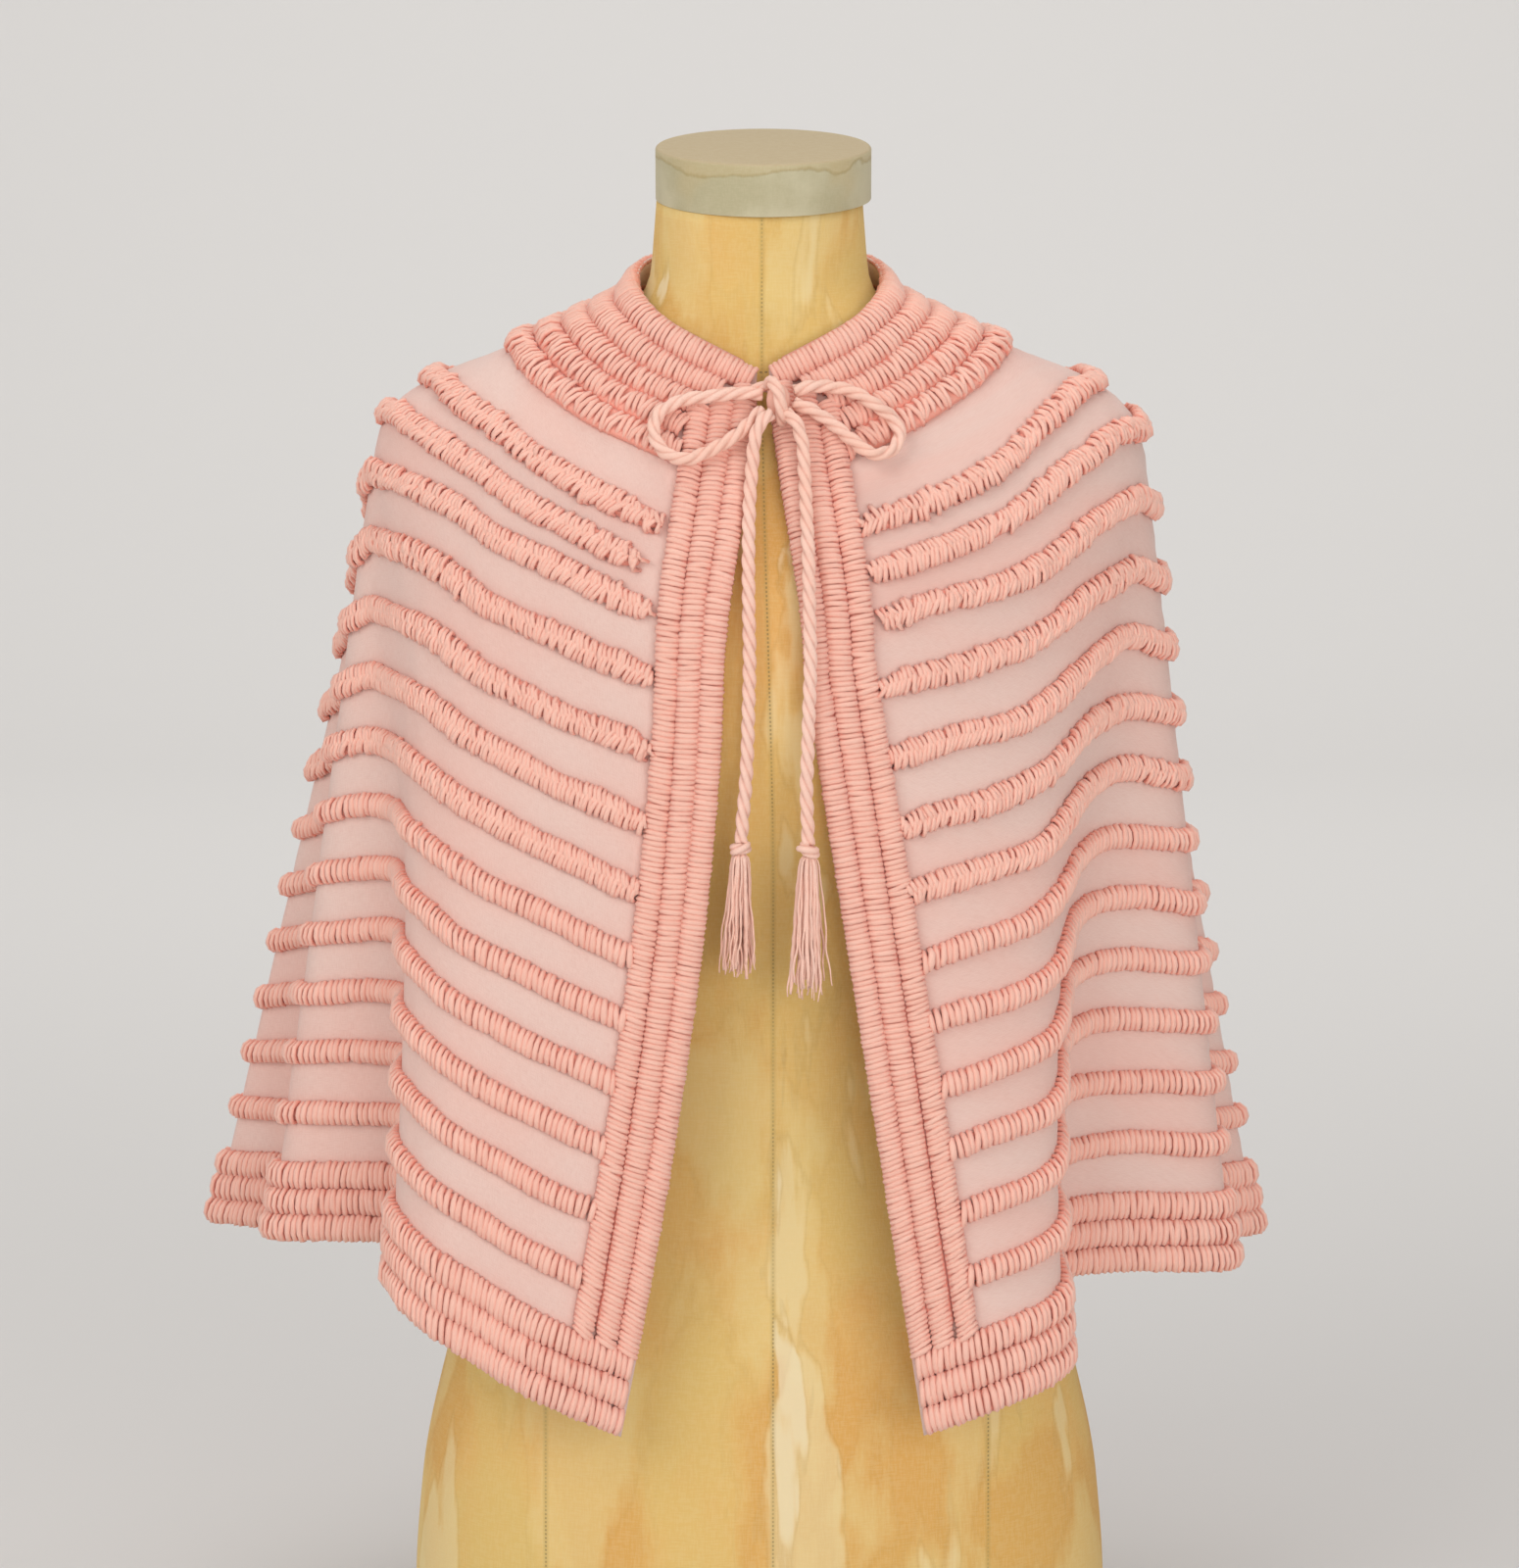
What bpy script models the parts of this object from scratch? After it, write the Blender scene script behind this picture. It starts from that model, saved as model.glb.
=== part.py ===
# A chenille cape tied at the neck with a twisted cord, worn by a limbless dress form.
#
# X runs across the form, the front faces -Y and Z is up. The origin is on the form's axis at its underside.
# The cape's cloth is one surface, given by how far round the neck and how far down from it a point lies.
# It follows the form from the neck to where it leaves the shoulders, then hangs in folds to the hem.

import math

import bmesh
import bpy
import numpy as np
from mathutils import Matrix, Vector

MM = 0.001
SEAM_GAP = 0.3
# How much of the gap each panel gives up at a side seam, with a little over because the cloth turns there
SEAM_SHARE = 0.8

# Dress form: its level sections, all in mm. Lean is how far the section's middle lies behind the axis.
FORM_ROWS = (
    # height, half_width, front_depth, back_depth, lean
    (0, 183, 117, 122, 0),
    (50, 186, 120, 125, 0),
    (110, 182, 118, 122, 0),
    (183, 167, 112, 113, 0),
    (260, 143, 99, 96, 0),
    (345, 121, 91, 84, 0),
    (420, 136, 102, 92, 0),
    (480, 156, 115, 101, 0),
    (530, 171, 123, 109, 0),
    (580, 184, 119, 114, 0),
    (620, 194, 108, 114, 0),
    (650, 197, 94, 108, 0),
    (670, 194, 82, 101, 0),
    (684, 185, 73, 95, 0),
    (696, 167, 65, 89, 0),
    (708, 137, 60, 81, -1),
    (729, 86, 56, 69, -2),
    (742, 63, 55, 60, -4),
    (755, 57, 54, 56, -5),
    (775, 55, 53.5, 54, -8),
    (794, 53.5, 53, 53, -11),
)
FORM_AROUND = 28
FORM_LOWER_LEVELS = (0, 50, 110, 170, 225, 280, 335, 385, 430, 475, 515, 555)
FORM_UPPER_LEVELS = (592, 620, 645, 664, 679, 693, 708, 724, 740, 756, 769, 782, 794)
FORM_SQUARENESS = 2.15
# The neck's top and the cap on it tip forward by this many degrees, from this height up.
NECK_TILT = 9
TILT_START = 762

CAP_RADIUS = 56
CAP_THICK = 27
CAP_TOP_EDGE = 4
CAP_AROUND = 28
CAP_SIDEWAYS = 2

# Cape cloth and yarn rows, mm
WALL = 2.5
REST_GAP = 3.8
COLLAR_GAP = 4.5
COLLAR_FALL = 34
CUT_LENGTH = 607
NECK_ROWS = 5
NECK_PITCH = 17
EDGE_ROWS = 3
EDGE_PITCH = 12.2
HEM_PITCH = 14
# Distances from the neck, over the shoulder, of the rows that stand apart
SPACED_ROW_PLACES = (126, 158, 200, 238, 274, 309, 343, 377, 410, 442, 474, 506, 539)
# The front is cut shorter than the sides. How much of the difference lies above each distance from the neck
EASE_ROWS = (
    # distance, share
    (0, 0),
    (70, 0),
    (126, 0.44),
    (158, 0.62),
    (200, 0.98),
    (241, 1.08),
    (400, 1.08),
    (CUT_LENGTH, 1),
)
YARN_RISE = 7
YARN_DIP = 1.6
SPACED_HALF = 6.5
SPACED_TOP = 3.4
TINY = 1e-6

# The neckline is highest behind and dips to the tie in front.
NECK_FRONT_HEIGHT = 706
NECK_BACK_HEIGHT = 766
NECK_SIDE_RISE = 0.09

# Fold table: one row for each edge, ridge and hollow, from the picture's left front edge round the back to
# its right front edge. Turn is in degrees round from the front towards -X, at the neck and where the cloth
# leaves the form. Then comes the place of the fold's lower end on the hem, in mm. Swing is how late the cloth
# swings out to it.
FOLD_ROWS = (
    # neck_turn, shoulder_turn, hem_x, hem_y, hem_height, swing
    (1.2, 8.5, -71, -147, 170, 1.5),
    (17, 25, -109, -152, 188, 1.35),
    (32, 43, -142, -141, 205, 1.15),
    (44, 55, -164, -138, 219, 1.0),
    (56, 68, -187, -110, 238, 0.88),
    (70, 81, -176, -58, 246, 0.88),
    (80, 88, -259, -14, 242, 0.88),
    (90, 94, -246, 30, 236, 0.88),
    (100, 100, -299, 72, 231, 0.88),
    (115, 112, -208, 103, 222, 0.88),
    (129, 126, -201, 168, 210, 0.88),
    (142, 140, -121, 164, 203, 0.88),
    (156, 154, -91, 218, 197, 0.88),
    (169, 168, -29, 180, 194, 0.88),
    (182, 182, 15, 224, 192, 0.88),
    (195, 195, 53, 176, 194, 0.88),
    (208, 209, 115, 206, 198, 0.88),
    (221, 222, 131, 150, 204, 0.88),
    (234, 236, 203, 148, 212, 0.88),
    (246, 248, 196, 92, 219, 0.88),
    (257, 258, 273, 76, 224, 0.88),
    (268, 265, 230, 28, 228, 0.88),
    (278, 272, 250, -24, 229, 0.88),
    (291, 288, 142, -80, 226, 0.88),
    (305, 305, 153, -130, 199, 0.97),
    (334, 329, 121, -152, 186, 1.0),
    (355.5, 349.5, 84, -148, 171, 1.0),
)
# Rows of the fold table where the panels meet
LEFT_SEAM_ROW = 7
BACK_SEAM_ROW = 14
RIGHT_SEAM_ROW = 21
COLUMNS_PER_STEP = 2
# How late the folds form on the way down, and how far along the hem they are smoothed for the even flare
FOLD_ONSET = 1.15
FLARE_SMOOTHING = 0.035
FLARE_REACH = 2.2
FLARE_SAMPLES = 23

PATH_STEPS = 90
HANG_STEPS = 60
LEAVE_HEIGHTS = (520, 735)
ROUTE_SAMPLES = 400
CHUNK = 4000
# Share of the cape's round, from each front edge, that holds the rows along that edge
BAND_REACH = 0.25
BAND_SAMPLES = 160
# Outer lines of a close row lie at these shares of its width
ROW_TOP_START = 0.25
ROW_TOP_END = 0.75
# The plain inner face has lines about this far apart, down to each distance from the neck
INNER_LINE_STEPS = ((190, 14), (CUT_LENGTH, 52))
LAST_LINE_STEP = 20

# Tie cord. The routes are its middle line in mm, from the bow's knot outwards.
CORD_RADIUS = 3.5
CORD_POINT_STEP = 15
CORD_BEVEL_RESOLUTION = 2
LEFT_LOOP_ROUTE = (
    # x, y, z
    (1.5, -87.8, 697),
    (-8, -88.8, 697.5),
    (-24, -90, 696),
    (-40, -88.4, 693.5),
    (-51, -90, 687),
    (-53.5, -95.8, 678),
    (-48, -100.8, 668.5),
    (-37, -107.8, 665.5),
    (-24, -104.6, 670),
    (-12, -101.8, 677),
    (-4, -95.8, 684),
    (1.5, -92.8, 689.5),
)
RIGHT_LOOP_ROUTE = (
    (17.5, -87.8, 698.5),
    (25, -87.3, 700.5),
    (36, -84.8, 700.5),
    (47, -85.6, 698),
    (58, -90.2, 692),
    (67, -87.8, 685),
    (71, -91.8, 676),
    (67, -97.3, 669.5),
    (57, -103.8, 668),
    (46, -98.8, 675),
    (36, -93.8, 683),
    (26, -93.8, 689.5),
    (17.5, -91.8, 692.5),
)
LEFT_END_ROUTE = (
    (5.5, -99.4, 688),
    (1, -102.8, 684),
    (-2, -105.3, 677),
    (-3.5, -107.8, 664),
    (-5, -113.1, 645),
    (-5.5, -119.3, 620),
    (-5.4, -125.8, 592),
    (-5, -129.8, 565),
    (-5.6, -131.8, 538),
    (-6, -132, 523),
    (-7.2, -132, 500),
    (-8.6, -132, 484),
    (-9.2, -132, 473.8),
)
RIGHT_END_ROUTE = (
    (13.2, -97.6, 688.2),
    (18, -101.3, 684),
    (21, -103.8, 676),
    (22.5, -109.8, 660),
    (23.5, -119.3, 640),
    (24.6, -129, 615),
    (25, -133.8, 592),
    (25.5, -136.8, 565),
    (24.8, -138.2, 540),
    (24.3, -138.6, 523),
    (23.6, -138.6, 500),
    (24.2, -138.6, 484),
    (24.6, -138.6, 473.8),
)

# Knots, mm: the middle and the half sizes of each
KNOT_ROWS = {
    # x, y, z, half_wide, half_deep, half_high
    "bow_knot": (9.5, -91.3, 694, 7, 6.5, 10),
    "tie_knot_left": (-9.6, -132, 468.6, 6, 5.6, 4.8),
    "tie_knot_right": (24.8, -138.6, 468.4, 6.4, 5.8, 5),
}
KNOT_AROUND = 12
KNOT_RINGS = 7

# Tassels, mm. Sway is how far the lower end hangs to the side, spread how much wider it is than the head.
TASSEL_ROWS = {
    # x, y, head_top, head_radius, strand_length, spread, sway, seed
    "tassel_left": (-9.8, -132, 463.3, 5.8, 62, 2.1, -1.6, 1.0),
    "tassel_right": (25, -138.6, 462.9, 6.2, 73, 2.0, 1.8, 2.7),
}
TASSEL_AROUND = 12
HEAD_HEIGHT = 3.5
HEAD_CROWN = 0.75
STRAND_STEPS = 4
STRAND_HALF = 0.85
STRAND_WAVE = 0.9
STRAND_UNEVEN = 7
# Each ring of strands takes this share of the head's radius, with a small gap between strands
STRAND_RING = 0.4
STRAND_RINGS = 2
STRAND_APART = 0.2
# Change from strand to strand, in radians, and how many radians a strand's wave has
STRAND_CHANGE = 2.4
STRAND_WAVE_TURN = 5
# Strands fan out fast at first
FAN_ONSET = 0.8


def slopes_between(x, y):
    """Slopes for a smooth curve through the points (x, y) that doesn't overshoot."""
    step = np.diff(x)[:, None]
    rise = np.diff(y, axis=0) / step
    inner = np.zeros_like(rise[1:])
    same = rise[1:] * rise[:-1] > 0
    w1 = 2 * step[1:] + step[:-1]
    w2 = step[1:] + 2 * step[:-1]
    mean = (w1 + w2) / (w1 / np.where(same, rise[:-1], 1) + w2 / np.where(same, rise[1:], 1))
    inner[same] = mean[same]
    return np.vstack([rise[:1], inner, rise[-1:]])


def round_slopes(x, y):
    """Slopes for a rounder curve through the points, which may bulge past them."""
    step = np.diff(x)[:, None]
    rise = np.diff(y, axis=0) / step
    inner = (rise[:-1] * step[1:] + rise[1:] * step[:-1]) / (step[1:] + step[:-1])
    return np.vstack([rise[:1], inner, rise[-1:]])


def curve_at(x, y, slope, at):
    """Cubic curve through (x, y) with these slopes, read at the places asked for."""
    at = np.asarray(at, float)
    i = np.clip(np.searchsorted(x, at) - 1, 0, len(x) - 2)
    h = x[i + 1] - x[i]
    t = (at - x[i]) / h
    t, h = t[..., None], h[..., None]
    return (
        y[i] * (1 + 2 * t) * (1 - t) ** 2
        + slope[i] * h * t * (1 - t) ** 2
        + y[i + 1] * t**2 * (3 - 2 * t)
        + slope[i + 1] * h * t**2 * (t - 1)
    )


def smooth_step(t):
    t = np.clip(t, 0, 1)
    return t * t * (3 - 2 * t)


FORM = np.array(FORM_ROWS, float)
FORM_SLOPES = slopes_between(FORM[:, 0], FORM[:, 1:])


def form_point(turn, height):
    """Point of the form's surface at a turn (radians from the front towards -X) and a height, in mm."""
    wide, front, back, lean = np.moveaxis(curve_at(FORM[:, 0], FORM[:, 1:], FORM_SLOPES, height), -1, 0)
    across, along = np.sin(turn), np.cos(turn)
    deep = np.where(along > 0, front, back)
    n = FORM_SQUARENESS
    reach = (np.abs(across / wide) ** n + np.abs(along / deep) ** n) ** (-1 / n)
    return np.stack([-reach * across, lean - reach * along, np.broadcast_to(height, reach.shape)], -1)


def unit(v):
    return v / np.maximum(np.linalg.norm(v, axis=-1, keepdims=True), 1e-9)


def form_normal(turn, height):
    """Outward direction of the form's surface."""
    d_turn, d_height = 0.01, 0.5
    across = form_point(turn + d_turn, height) - form_point(turn - d_turn, height)
    up = form_point(turn, height + d_height) - form_point(turn, height - d_height)
    return unit(np.cross(up, across))


EASE = np.array(EASE_ROWS, float)
EASE_SLOPES = slopes_between(EASE[:, 0], EASE[:, 1:])
FOLDS = np.array(FOLD_ROWS, float)
HEM_STEPS = np.linalg.norm(np.diff(FOLDS[:, 2:4], axis=0), axis=1)
FOLD_PLACES = np.concatenate([[0], np.cumsum(HEM_STEPS)]) / HEM_STEPS.sum()
FOLD_SLOPES = round_slopes(FOLD_PLACES, FOLDS)


def fold_values(place):
    """Turn at the neck, turn at the shoulder and hem point for places from 0 to 1 round the cape."""
    return curve_at(FOLD_PLACES, FOLDS, FOLD_SLOPES, np.clip(place, 0, 1))


def unfolded_hem(place):
    """The hem in plan with its folds smoothed out, which sets the even flare."""
    offsets = np.linspace(-FLARE_REACH, FLARE_REACH, FLARE_SAMPLES)
    weights = np.exp(-(offsets**2) / 2)
    ends = fold_values(np.array([0.0, 1.0]))[:, 2:4]
    total = 0
    for offset, weight in zip(offsets, weights):
        at = place + offset * FLARE_SMOOTHING
        value = fold_values(np.abs(1 - np.abs(1 - at)))[..., 2:4]
        value = np.where((at < 0)[..., None], 2 * ends[0] - value, value)
        value = np.where((at > 1)[..., None], 2 * ends[1] - value, value)
        total = total + weight * value
    return total / weights.sum()


def cloth_paths(place):
    """The inner face of the cloth from neck to hem at each place round the cape, as points a few mm apart."""
    values = fold_values(place)
    neck_turn, shoulder_turn = np.radians(values[..., 0]), np.radians(values[..., 1])
    hem, swing = values[..., 2:5], values[..., 5, None]
    neck_rise = np.abs(np.sin(neck_turn / 2)) + NECK_SIDE_RISE * np.sin(neck_turn) ** 2
    neck_height = NECK_FRONT_HEIGHT + (NECK_BACK_HEIGHT - NECK_FRONT_HEIGHT) * neck_rise
    # The cloth leaves the form where a straight line from the hem just touches it.
    heights = np.arange(LEAVE_HEIGHTS[0], LEAVE_HEIGHTS[1] + 1)
    turn_grid = shoulder_turn[..., None] + 0 * heights
    shape = form_point(turn_grid, heights) + REST_GAP * form_normal(turn_grid, heights)
    outward = np.stack([-np.sin(shoulder_turn), -np.cos(shoulder_turn)], -1)
    reach = (shape[..., :2] * outward[..., None, :]).sum(-1)
    hem_reach = (hem[..., :2] * outward).sum(-1)
    lean = (reach - hem_reach[..., None]) / (heights - hem[..., 2:3])
    leave = heights[np.argmax(lean, axis=-1)]
    # Over the form
    t = np.linspace(0, 1, PATH_STEPS)
    height = neck_height[..., None] + (leave - neck_height)[..., None] * t
    turn = neck_turn[..., None] + (shoulder_turn - neck_turn)[..., None] * smooth_step(t)
    over = form_point(turn, height)
    steps = np.linalg.norm(np.diff(over, axis=-2), axis=-1)
    fallen = np.concatenate([np.zeros_like(steps[..., :1]), np.cumsum(steps, axis=-1)], axis=-1)
    gap = REST_GAP + (COLLAR_GAP - REST_GAP) * np.exp(-((fallen / COLLAR_FALL) ** 2))
    over = over + gap[..., None] * form_normal(turn, height)
    # Hanging to the hem
    w = np.linspace(0, 1, HANG_STEPS + 1)[1:]
    start = over[..., -1, :]
    even = unfolded_hem(place)
    hang = np.empty(start.shape[:-1] + (HANG_STEPS, 3))
    for axis in (0, 1):
        begin = start[..., axis, None]
        flared = begin + (even[..., axis, None] - begin) * w**swing
        fold = (hem[..., axis] - even[..., axis])[..., None] * w**FOLD_ONSET
        hang[..., axis] = flared + fold
    hang[..., 2] = start[..., 2, None] + (hem[..., 2] - start[..., 2])[..., None] * w
    return np.concatenate([over, hang], axis=-2)


def cloth_point(place, down):
    """Inner face of the cloth. Down runs from 0 at the neck to CUT_LENGTH at the hem."""
    place, down = np.broadcast_arrays(np.asarray(place, float), np.asarray(down, float))
    flat_place, flat_down = place.ravel(), down.ravel()
    out = np.empty((flat_place.size, 3))
    for first in range(0, flat_place.size, CHUNK):
        chunk = slice(first, first + CHUNK)
        paths = cloth_paths(flat_place[chunk])
        steps = np.linalg.norm(np.diff(paths, axis=1), axis=2)
        run = np.concatenate([np.zeros((len(paths), 1)), np.cumsum(steps, axis=1)], axis=1)
        long = run[:, -1]
        # Front and side lengths differ, and the rows between the neck and the chest take up the difference.
        ease = curve_at(EASE[:, 0], EASE[:, 1:], EASE_SLOPES, flat_down[chunk])[:, 0]
        want = flat_down[chunk] + (long - CUT_LENGTH) * ease
        want = np.clip(want, 0, long)
        i = np.clip((run <= want[:, None]).sum(axis=1) - 1, 0, run.shape[1] - 2)
        rows = np.arange(len(paths))
        t = (want - run[rows, i]) / np.maximum(run[rows, i + 1] - run[rows, i], 1e-9)
        out[chunk] = paths[rows, i] * (1 - t[:, None]) + paths[rows, i + 1] * t[:, None]
    return out.reshape(place.shape + (3,))


def cloth_normal(place, down):
    """Outward direction of the cloth, read over a few millimetres so that it turns smoothly."""
    d_place, d_down = 0.0035, 5.0
    low_place, high_place = np.clip(place - d_place, 0, 1), np.clip(place + d_place, 0, 1)
    low_down, high_down = np.clip(down - d_down, 0, CUT_LENGTH), np.clip(down + d_down, 0, CUT_LENGTH)
    across = cloth_point(high_place, down) - cloth_point(low_place, down)
    along = cloth_point(place, high_down) - cloth_point(place, low_down)
    return unit(np.cross(across, along))


def close_row_rise(count):
    """Height of close-set rows, where count is the distance from the edge in rows."""
    phase = count - np.floor(count)
    return YARN_DIP + (YARN_RISE - YARN_DIP) * np.sqrt(np.clip(1 - (2 * phase - 1) ** 2, 0, 1))


def yarn_rise(from_edge, down):
    """How far the yarn stands out of the cloth, from the distance to the front edge and the neck."""
    neck_count, hem_count = down / NECK_PITCH, (CUT_LENGTH - down) / HEM_PITCH
    edge_count = from_edge / EDGE_PITCH
    border = np.minimum(np.minimum(neck_count, hem_count), edge_count)
    rise = np.where(neck_count < NECK_ROWS, close_row_rise(neck_count), 0.0)
    for middle in SPACED_ROW_PLACES:
        t = np.clip((SPACED_HALF - np.abs(down - middle)) / (SPACED_HALF - SPACED_TOP), 0, 1)
        rise = np.maximum(rise, YARN_RISE * t)
    return np.where(border < EDGE_ROWS - TINY, close_row_rise(np.maximum(border, 0)), rise)


def down_lines():
    """Distances from the neck of the panel's outer lines: two on each yarn row's top and one at each foot."""
    lines = [0.0]
    for row in range(NECK_ROWS):
        start = row * NECK_PITCH
        lines += [start + share * NECK_PITCH for share in (ROW_TOP_START, ROW_TOP_END, 1)]
    for middle in SPACED_ROW_PLACES:
        lines += [middle - SPACED_HALF, middle - SPACED_TOP, middle + SPACED_TOP, middle + SPACED_HALF]
    hem_start = CUT_LENGTH - EDGE_ROWS * HEM_PITCH
    lines.append(hem_start)
    for row in range(EDGE_ROWS):
        start = hem_start + row * HEM_PITCH
        lines += [start + share * HEM_PITCH for share in (ROW_TOP_START, ROW_TOP_END, 1)]
    return np.array(lines)


def inner_line_indices(lines):
    """Which of the outer lines the plain inner face also has: close over the shoulder, then sparser."""
    chosen = [0]
    for index, at in enumerate(lines[:-1]):
        spacing = next(step for limit, step in INNER_LINE_STEPS if at <= limit)
        if at - lines[chosen[-1]] >= spacing - 1:
            chosen.append(index)
    if lines[-1] - lines[chosen[-1]] < LAST_LINE_STEP:
        chosen.pop()
    return chosen + [len(lines) - 1]


def band_columns():
    """Distances from the front edge of the columns that raise the three edge rows."""
    columns = [0.0]
    for row in range(EDGE_ROWS):
        columns += [(row + 0.5) * EDGE_PITCH, (row + 1) * EDGE_PITCH]
    return np.array(columns)


def places_between(first_row, last_row):
    """Places round the cape from one row of the fold table to another, with the same number in each step."""
    places = []
    for row in range(first_row, last_row):
        for k in range(COLUMNS_PER_STEP):
            t = k / COLUMNS_PER_STEP
            places.append(FOLD_PLACES[row] * (1 - t) + FOLD_PLACES[row + 1] * t)
    return np.array(places + [FOLD_PLACES[last_row]])


def band_places(lines, band, from_left):
    """Places round the cape that lie these distances from a front edge, for each line down the cloth."""
    near = np.linspace(0, BAND_REACH, BAND_SAMPLES)
    at = near if from_left else 1 - near
    points = cloth_point(at[None, :], lines[:, None])
    run = np.cumsum(np.linalg.norm(np.diff(points, axis=1), axis=2), axis=1)
    run = np.hstack([np.zeros((len(lines), 1)), run])
    return np.array([np.interp(band, row, near) for row in run])


def panel_grid(first_row, last_row):
    """Place, distance down and distance from the front edge for every point of a panel's grid."""
    lines = down_lines()
    band = band_columns()
    places = places_between(first_row, last_row)
    from_left, from_right = first_row == 0, last_row == len(FOLDS) - 1
    if from_left or from_right:
        inward = places if from_left else 1 - places[::-1]
        edge_places = band_places(lines, band, from_left)
        # The edge's own column makes way for the band.
        share = inward[1:] / inward[-1]
        rest = edge_places[:, -1:] + (inward[-1] - edge_places[:, -1:]) * share[None, :]
        place = np.hstack([edge_places, rest])
        beyond = np.full(rest.shape, band[-1])
        from_edge = np.hstack([np.broadcast_to(band, edge_places.shape), beyond])
        if from_right:
            place, from_edge = 1 - place[:, ::-1], from_edge[:, ::-1]
    else:
        place = np.repeat(places[None, :], len(lines), axis=0)
        from_edge = np.full(place.shape, band[-1])
    down = np.repeat(lines[:, None], place.shape[1], axis=1)
    return place, down, from_edge


def panel_object(name, first_row, last_row, shade):
    """One cut panel of the cape: a plain inner face and an outer face raised into yarn rows."""
    place, down, from_edge = panel_grid(first_row, last_row)
    inner = cloth_point(place, down)
    normal = cloth_normal(place, down)
    # Panels stop short of the seam between them.
    for column, neighbour, joined in ((0, 1, first_row > 0), (-1, -2, last_row < len(FOLDS) - 1)):
        if joined:
            toward = unit(inner[:, neighbour] - inner[:, column])
            toward = unit(toward - (toward * normal[:, column]).sum(-1, keepdims=True) * normal[:, column])
            inner[:, column] += toward * SEAM_GAP * SEAM_SHARE
    outer = inner + normal * (WALL + yarn_rise(from_edge, down))[..., None]
    return shell_object(name, inner, outer, inner_line_indices(down[:, 0]), shade)


def shell_object(name, inner, outer, inner_rows, shade):
    """A closed wall between two grids of points, where the inner one uses only some of the rows."""
    mesh = bpy.data.meshes.new(name)
    build = bmesh.new()
    columns = outer.shape[1]
    out = [[build.verts.new(p * MM) for p in row] for row in outer]
    inside = [[build.verts.new(p * MM) for p in inner[row]] for row in inner_rows]
    for i in range(len(out) - 1):
        for j in range(columns - 1):
            build.faces.new((out[i][j], out[i + 1][j], out[i + 1][j + 1], out[i][j + 1]))
    for i in range(len(inside) - 1):
        for j in range(columns - 1):
            build.faces.new((inside[i][j], inside[i][j + 1], inside[i + 1][j + 1], inside[i + 1][j]))
    for j in range(columns - 1):
        build.faces.new((out[0][j], out[0][j + 1], inside[0][j + 1], inside[0][j]))
        build.faces.new((out[-1][j + 1], out[-1][j], inside[-1][j], inside[-1][j + 1]))
    for j in (0, columns - 1):
        for k in range(len(inner_rows) - 1):
            first, last = inner_rows[k], inner_rows[k + 1]
            middle = (first + last) // 2
            for i in range(first, middle):
                build.faces.new((inside[k][j], out[i][j], out[i + 1][j]))
            build.faces.new((inside[k][j], out[middle][j], inside[k + 1][j]))
            for i in range(middle, last):
                build.faces.new((inside[k + 1][j], out[i][j], out[i + 1][j]))
    bmesh.ops.recalc_face_normals(build, faces=build.faces)
    bmesh.ops.triangulate(build, faces=build.faces)
    build.to_mesh(mesh)
    build.free()
    return add_object(name, mesh, shade)


def material(name, colour, roughness):
    found = bpy.data.materials.get(name)
    if found:
        return found
    new = bpy.data.materials.new(name)
    new.use_nodes = True
    shader = new.node_tree.nodes["Principled BSDF"]
    shader.inputs["Base Color"].default_value = (*colour, 1)
    shader.inputs["Roughness"].default_value = roughness
    shader.inputs["Metallic"].default_value = 0
    return new


SHADES = {
    "cloth": ((0.76, 0.46, 0.38), 0.9),
    "cord": ((0.86, 0.58, 0.48), 0.85),
    "canvas": ((0.55, 0.38, 0.13), 0.8),
    "cap": ((0.47, 0.40, 0.24), 0.75),
}


def add_object(name, data, shade):
    made = bpy.data.objects.new(name, data)
    data.materials.append(material(shade, *SHADES[shade]))
    parts_collection().objects.link(made)
    return made


def parts_collection():
    name = "chenille_cape_on_form"
    found = bpy.data.collections.get(name)
    if not found:
        found = bpy.data.collections.new(name)
        bpy.context.scene.collection.children.link(found)
    return found


def clear_scene():
    for old in list(bpy.data.objects):
        bpy.data.objects.remove(old, do_unlink=True)


def tilted(points, height):
    """Points of the form's neck tipped forward, more and more from TILT_START to the top."""
    top = FORM[-1]
    share = np.clip((height - TILT_START) / (top[0] - TILT_START), 0, 1)
    out = points.copy()
    out[..., 2] += (points[..., 1] - top[4]) * math.tan(math.radians(NECK_TILT)) * share
    return out


def form_object():
    """The dress form, lofted through level sections and closed by flat ends."""
    turns = np.arange(FORM_AROUND) * 2 * math.pi / FORM_AROUND
    build = bmesh.new()
    rings = []
    for height in FORM_LOWER_LEVELS + FORM_UPPER_LEVELS:
        points = tilted(form_point(turns, np.full(FORM_AROUND, float(height))), height)
        rings.append([build.verts.new(p * MM) for p in points])
    for lower, upper in zip(rings, rings[1:]):
        for j in range(FORM_AROUND):
            k = (j + 1) % FORM_AROUND
            build.faces.new((lower[j], lower[k], upper[k], upper[j]))
    build.faces.new(rings[0])
    build.faces.new(rings[-1])
    bmesh.ops.recalc_face_normals(build, faces=build.faces)
    mesh = bpy.data.meshes.new("dress_form")
    build.to_mesh(mesh)
    build.free()
    return add_object("dress_form", mesh, "canvas")


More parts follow.
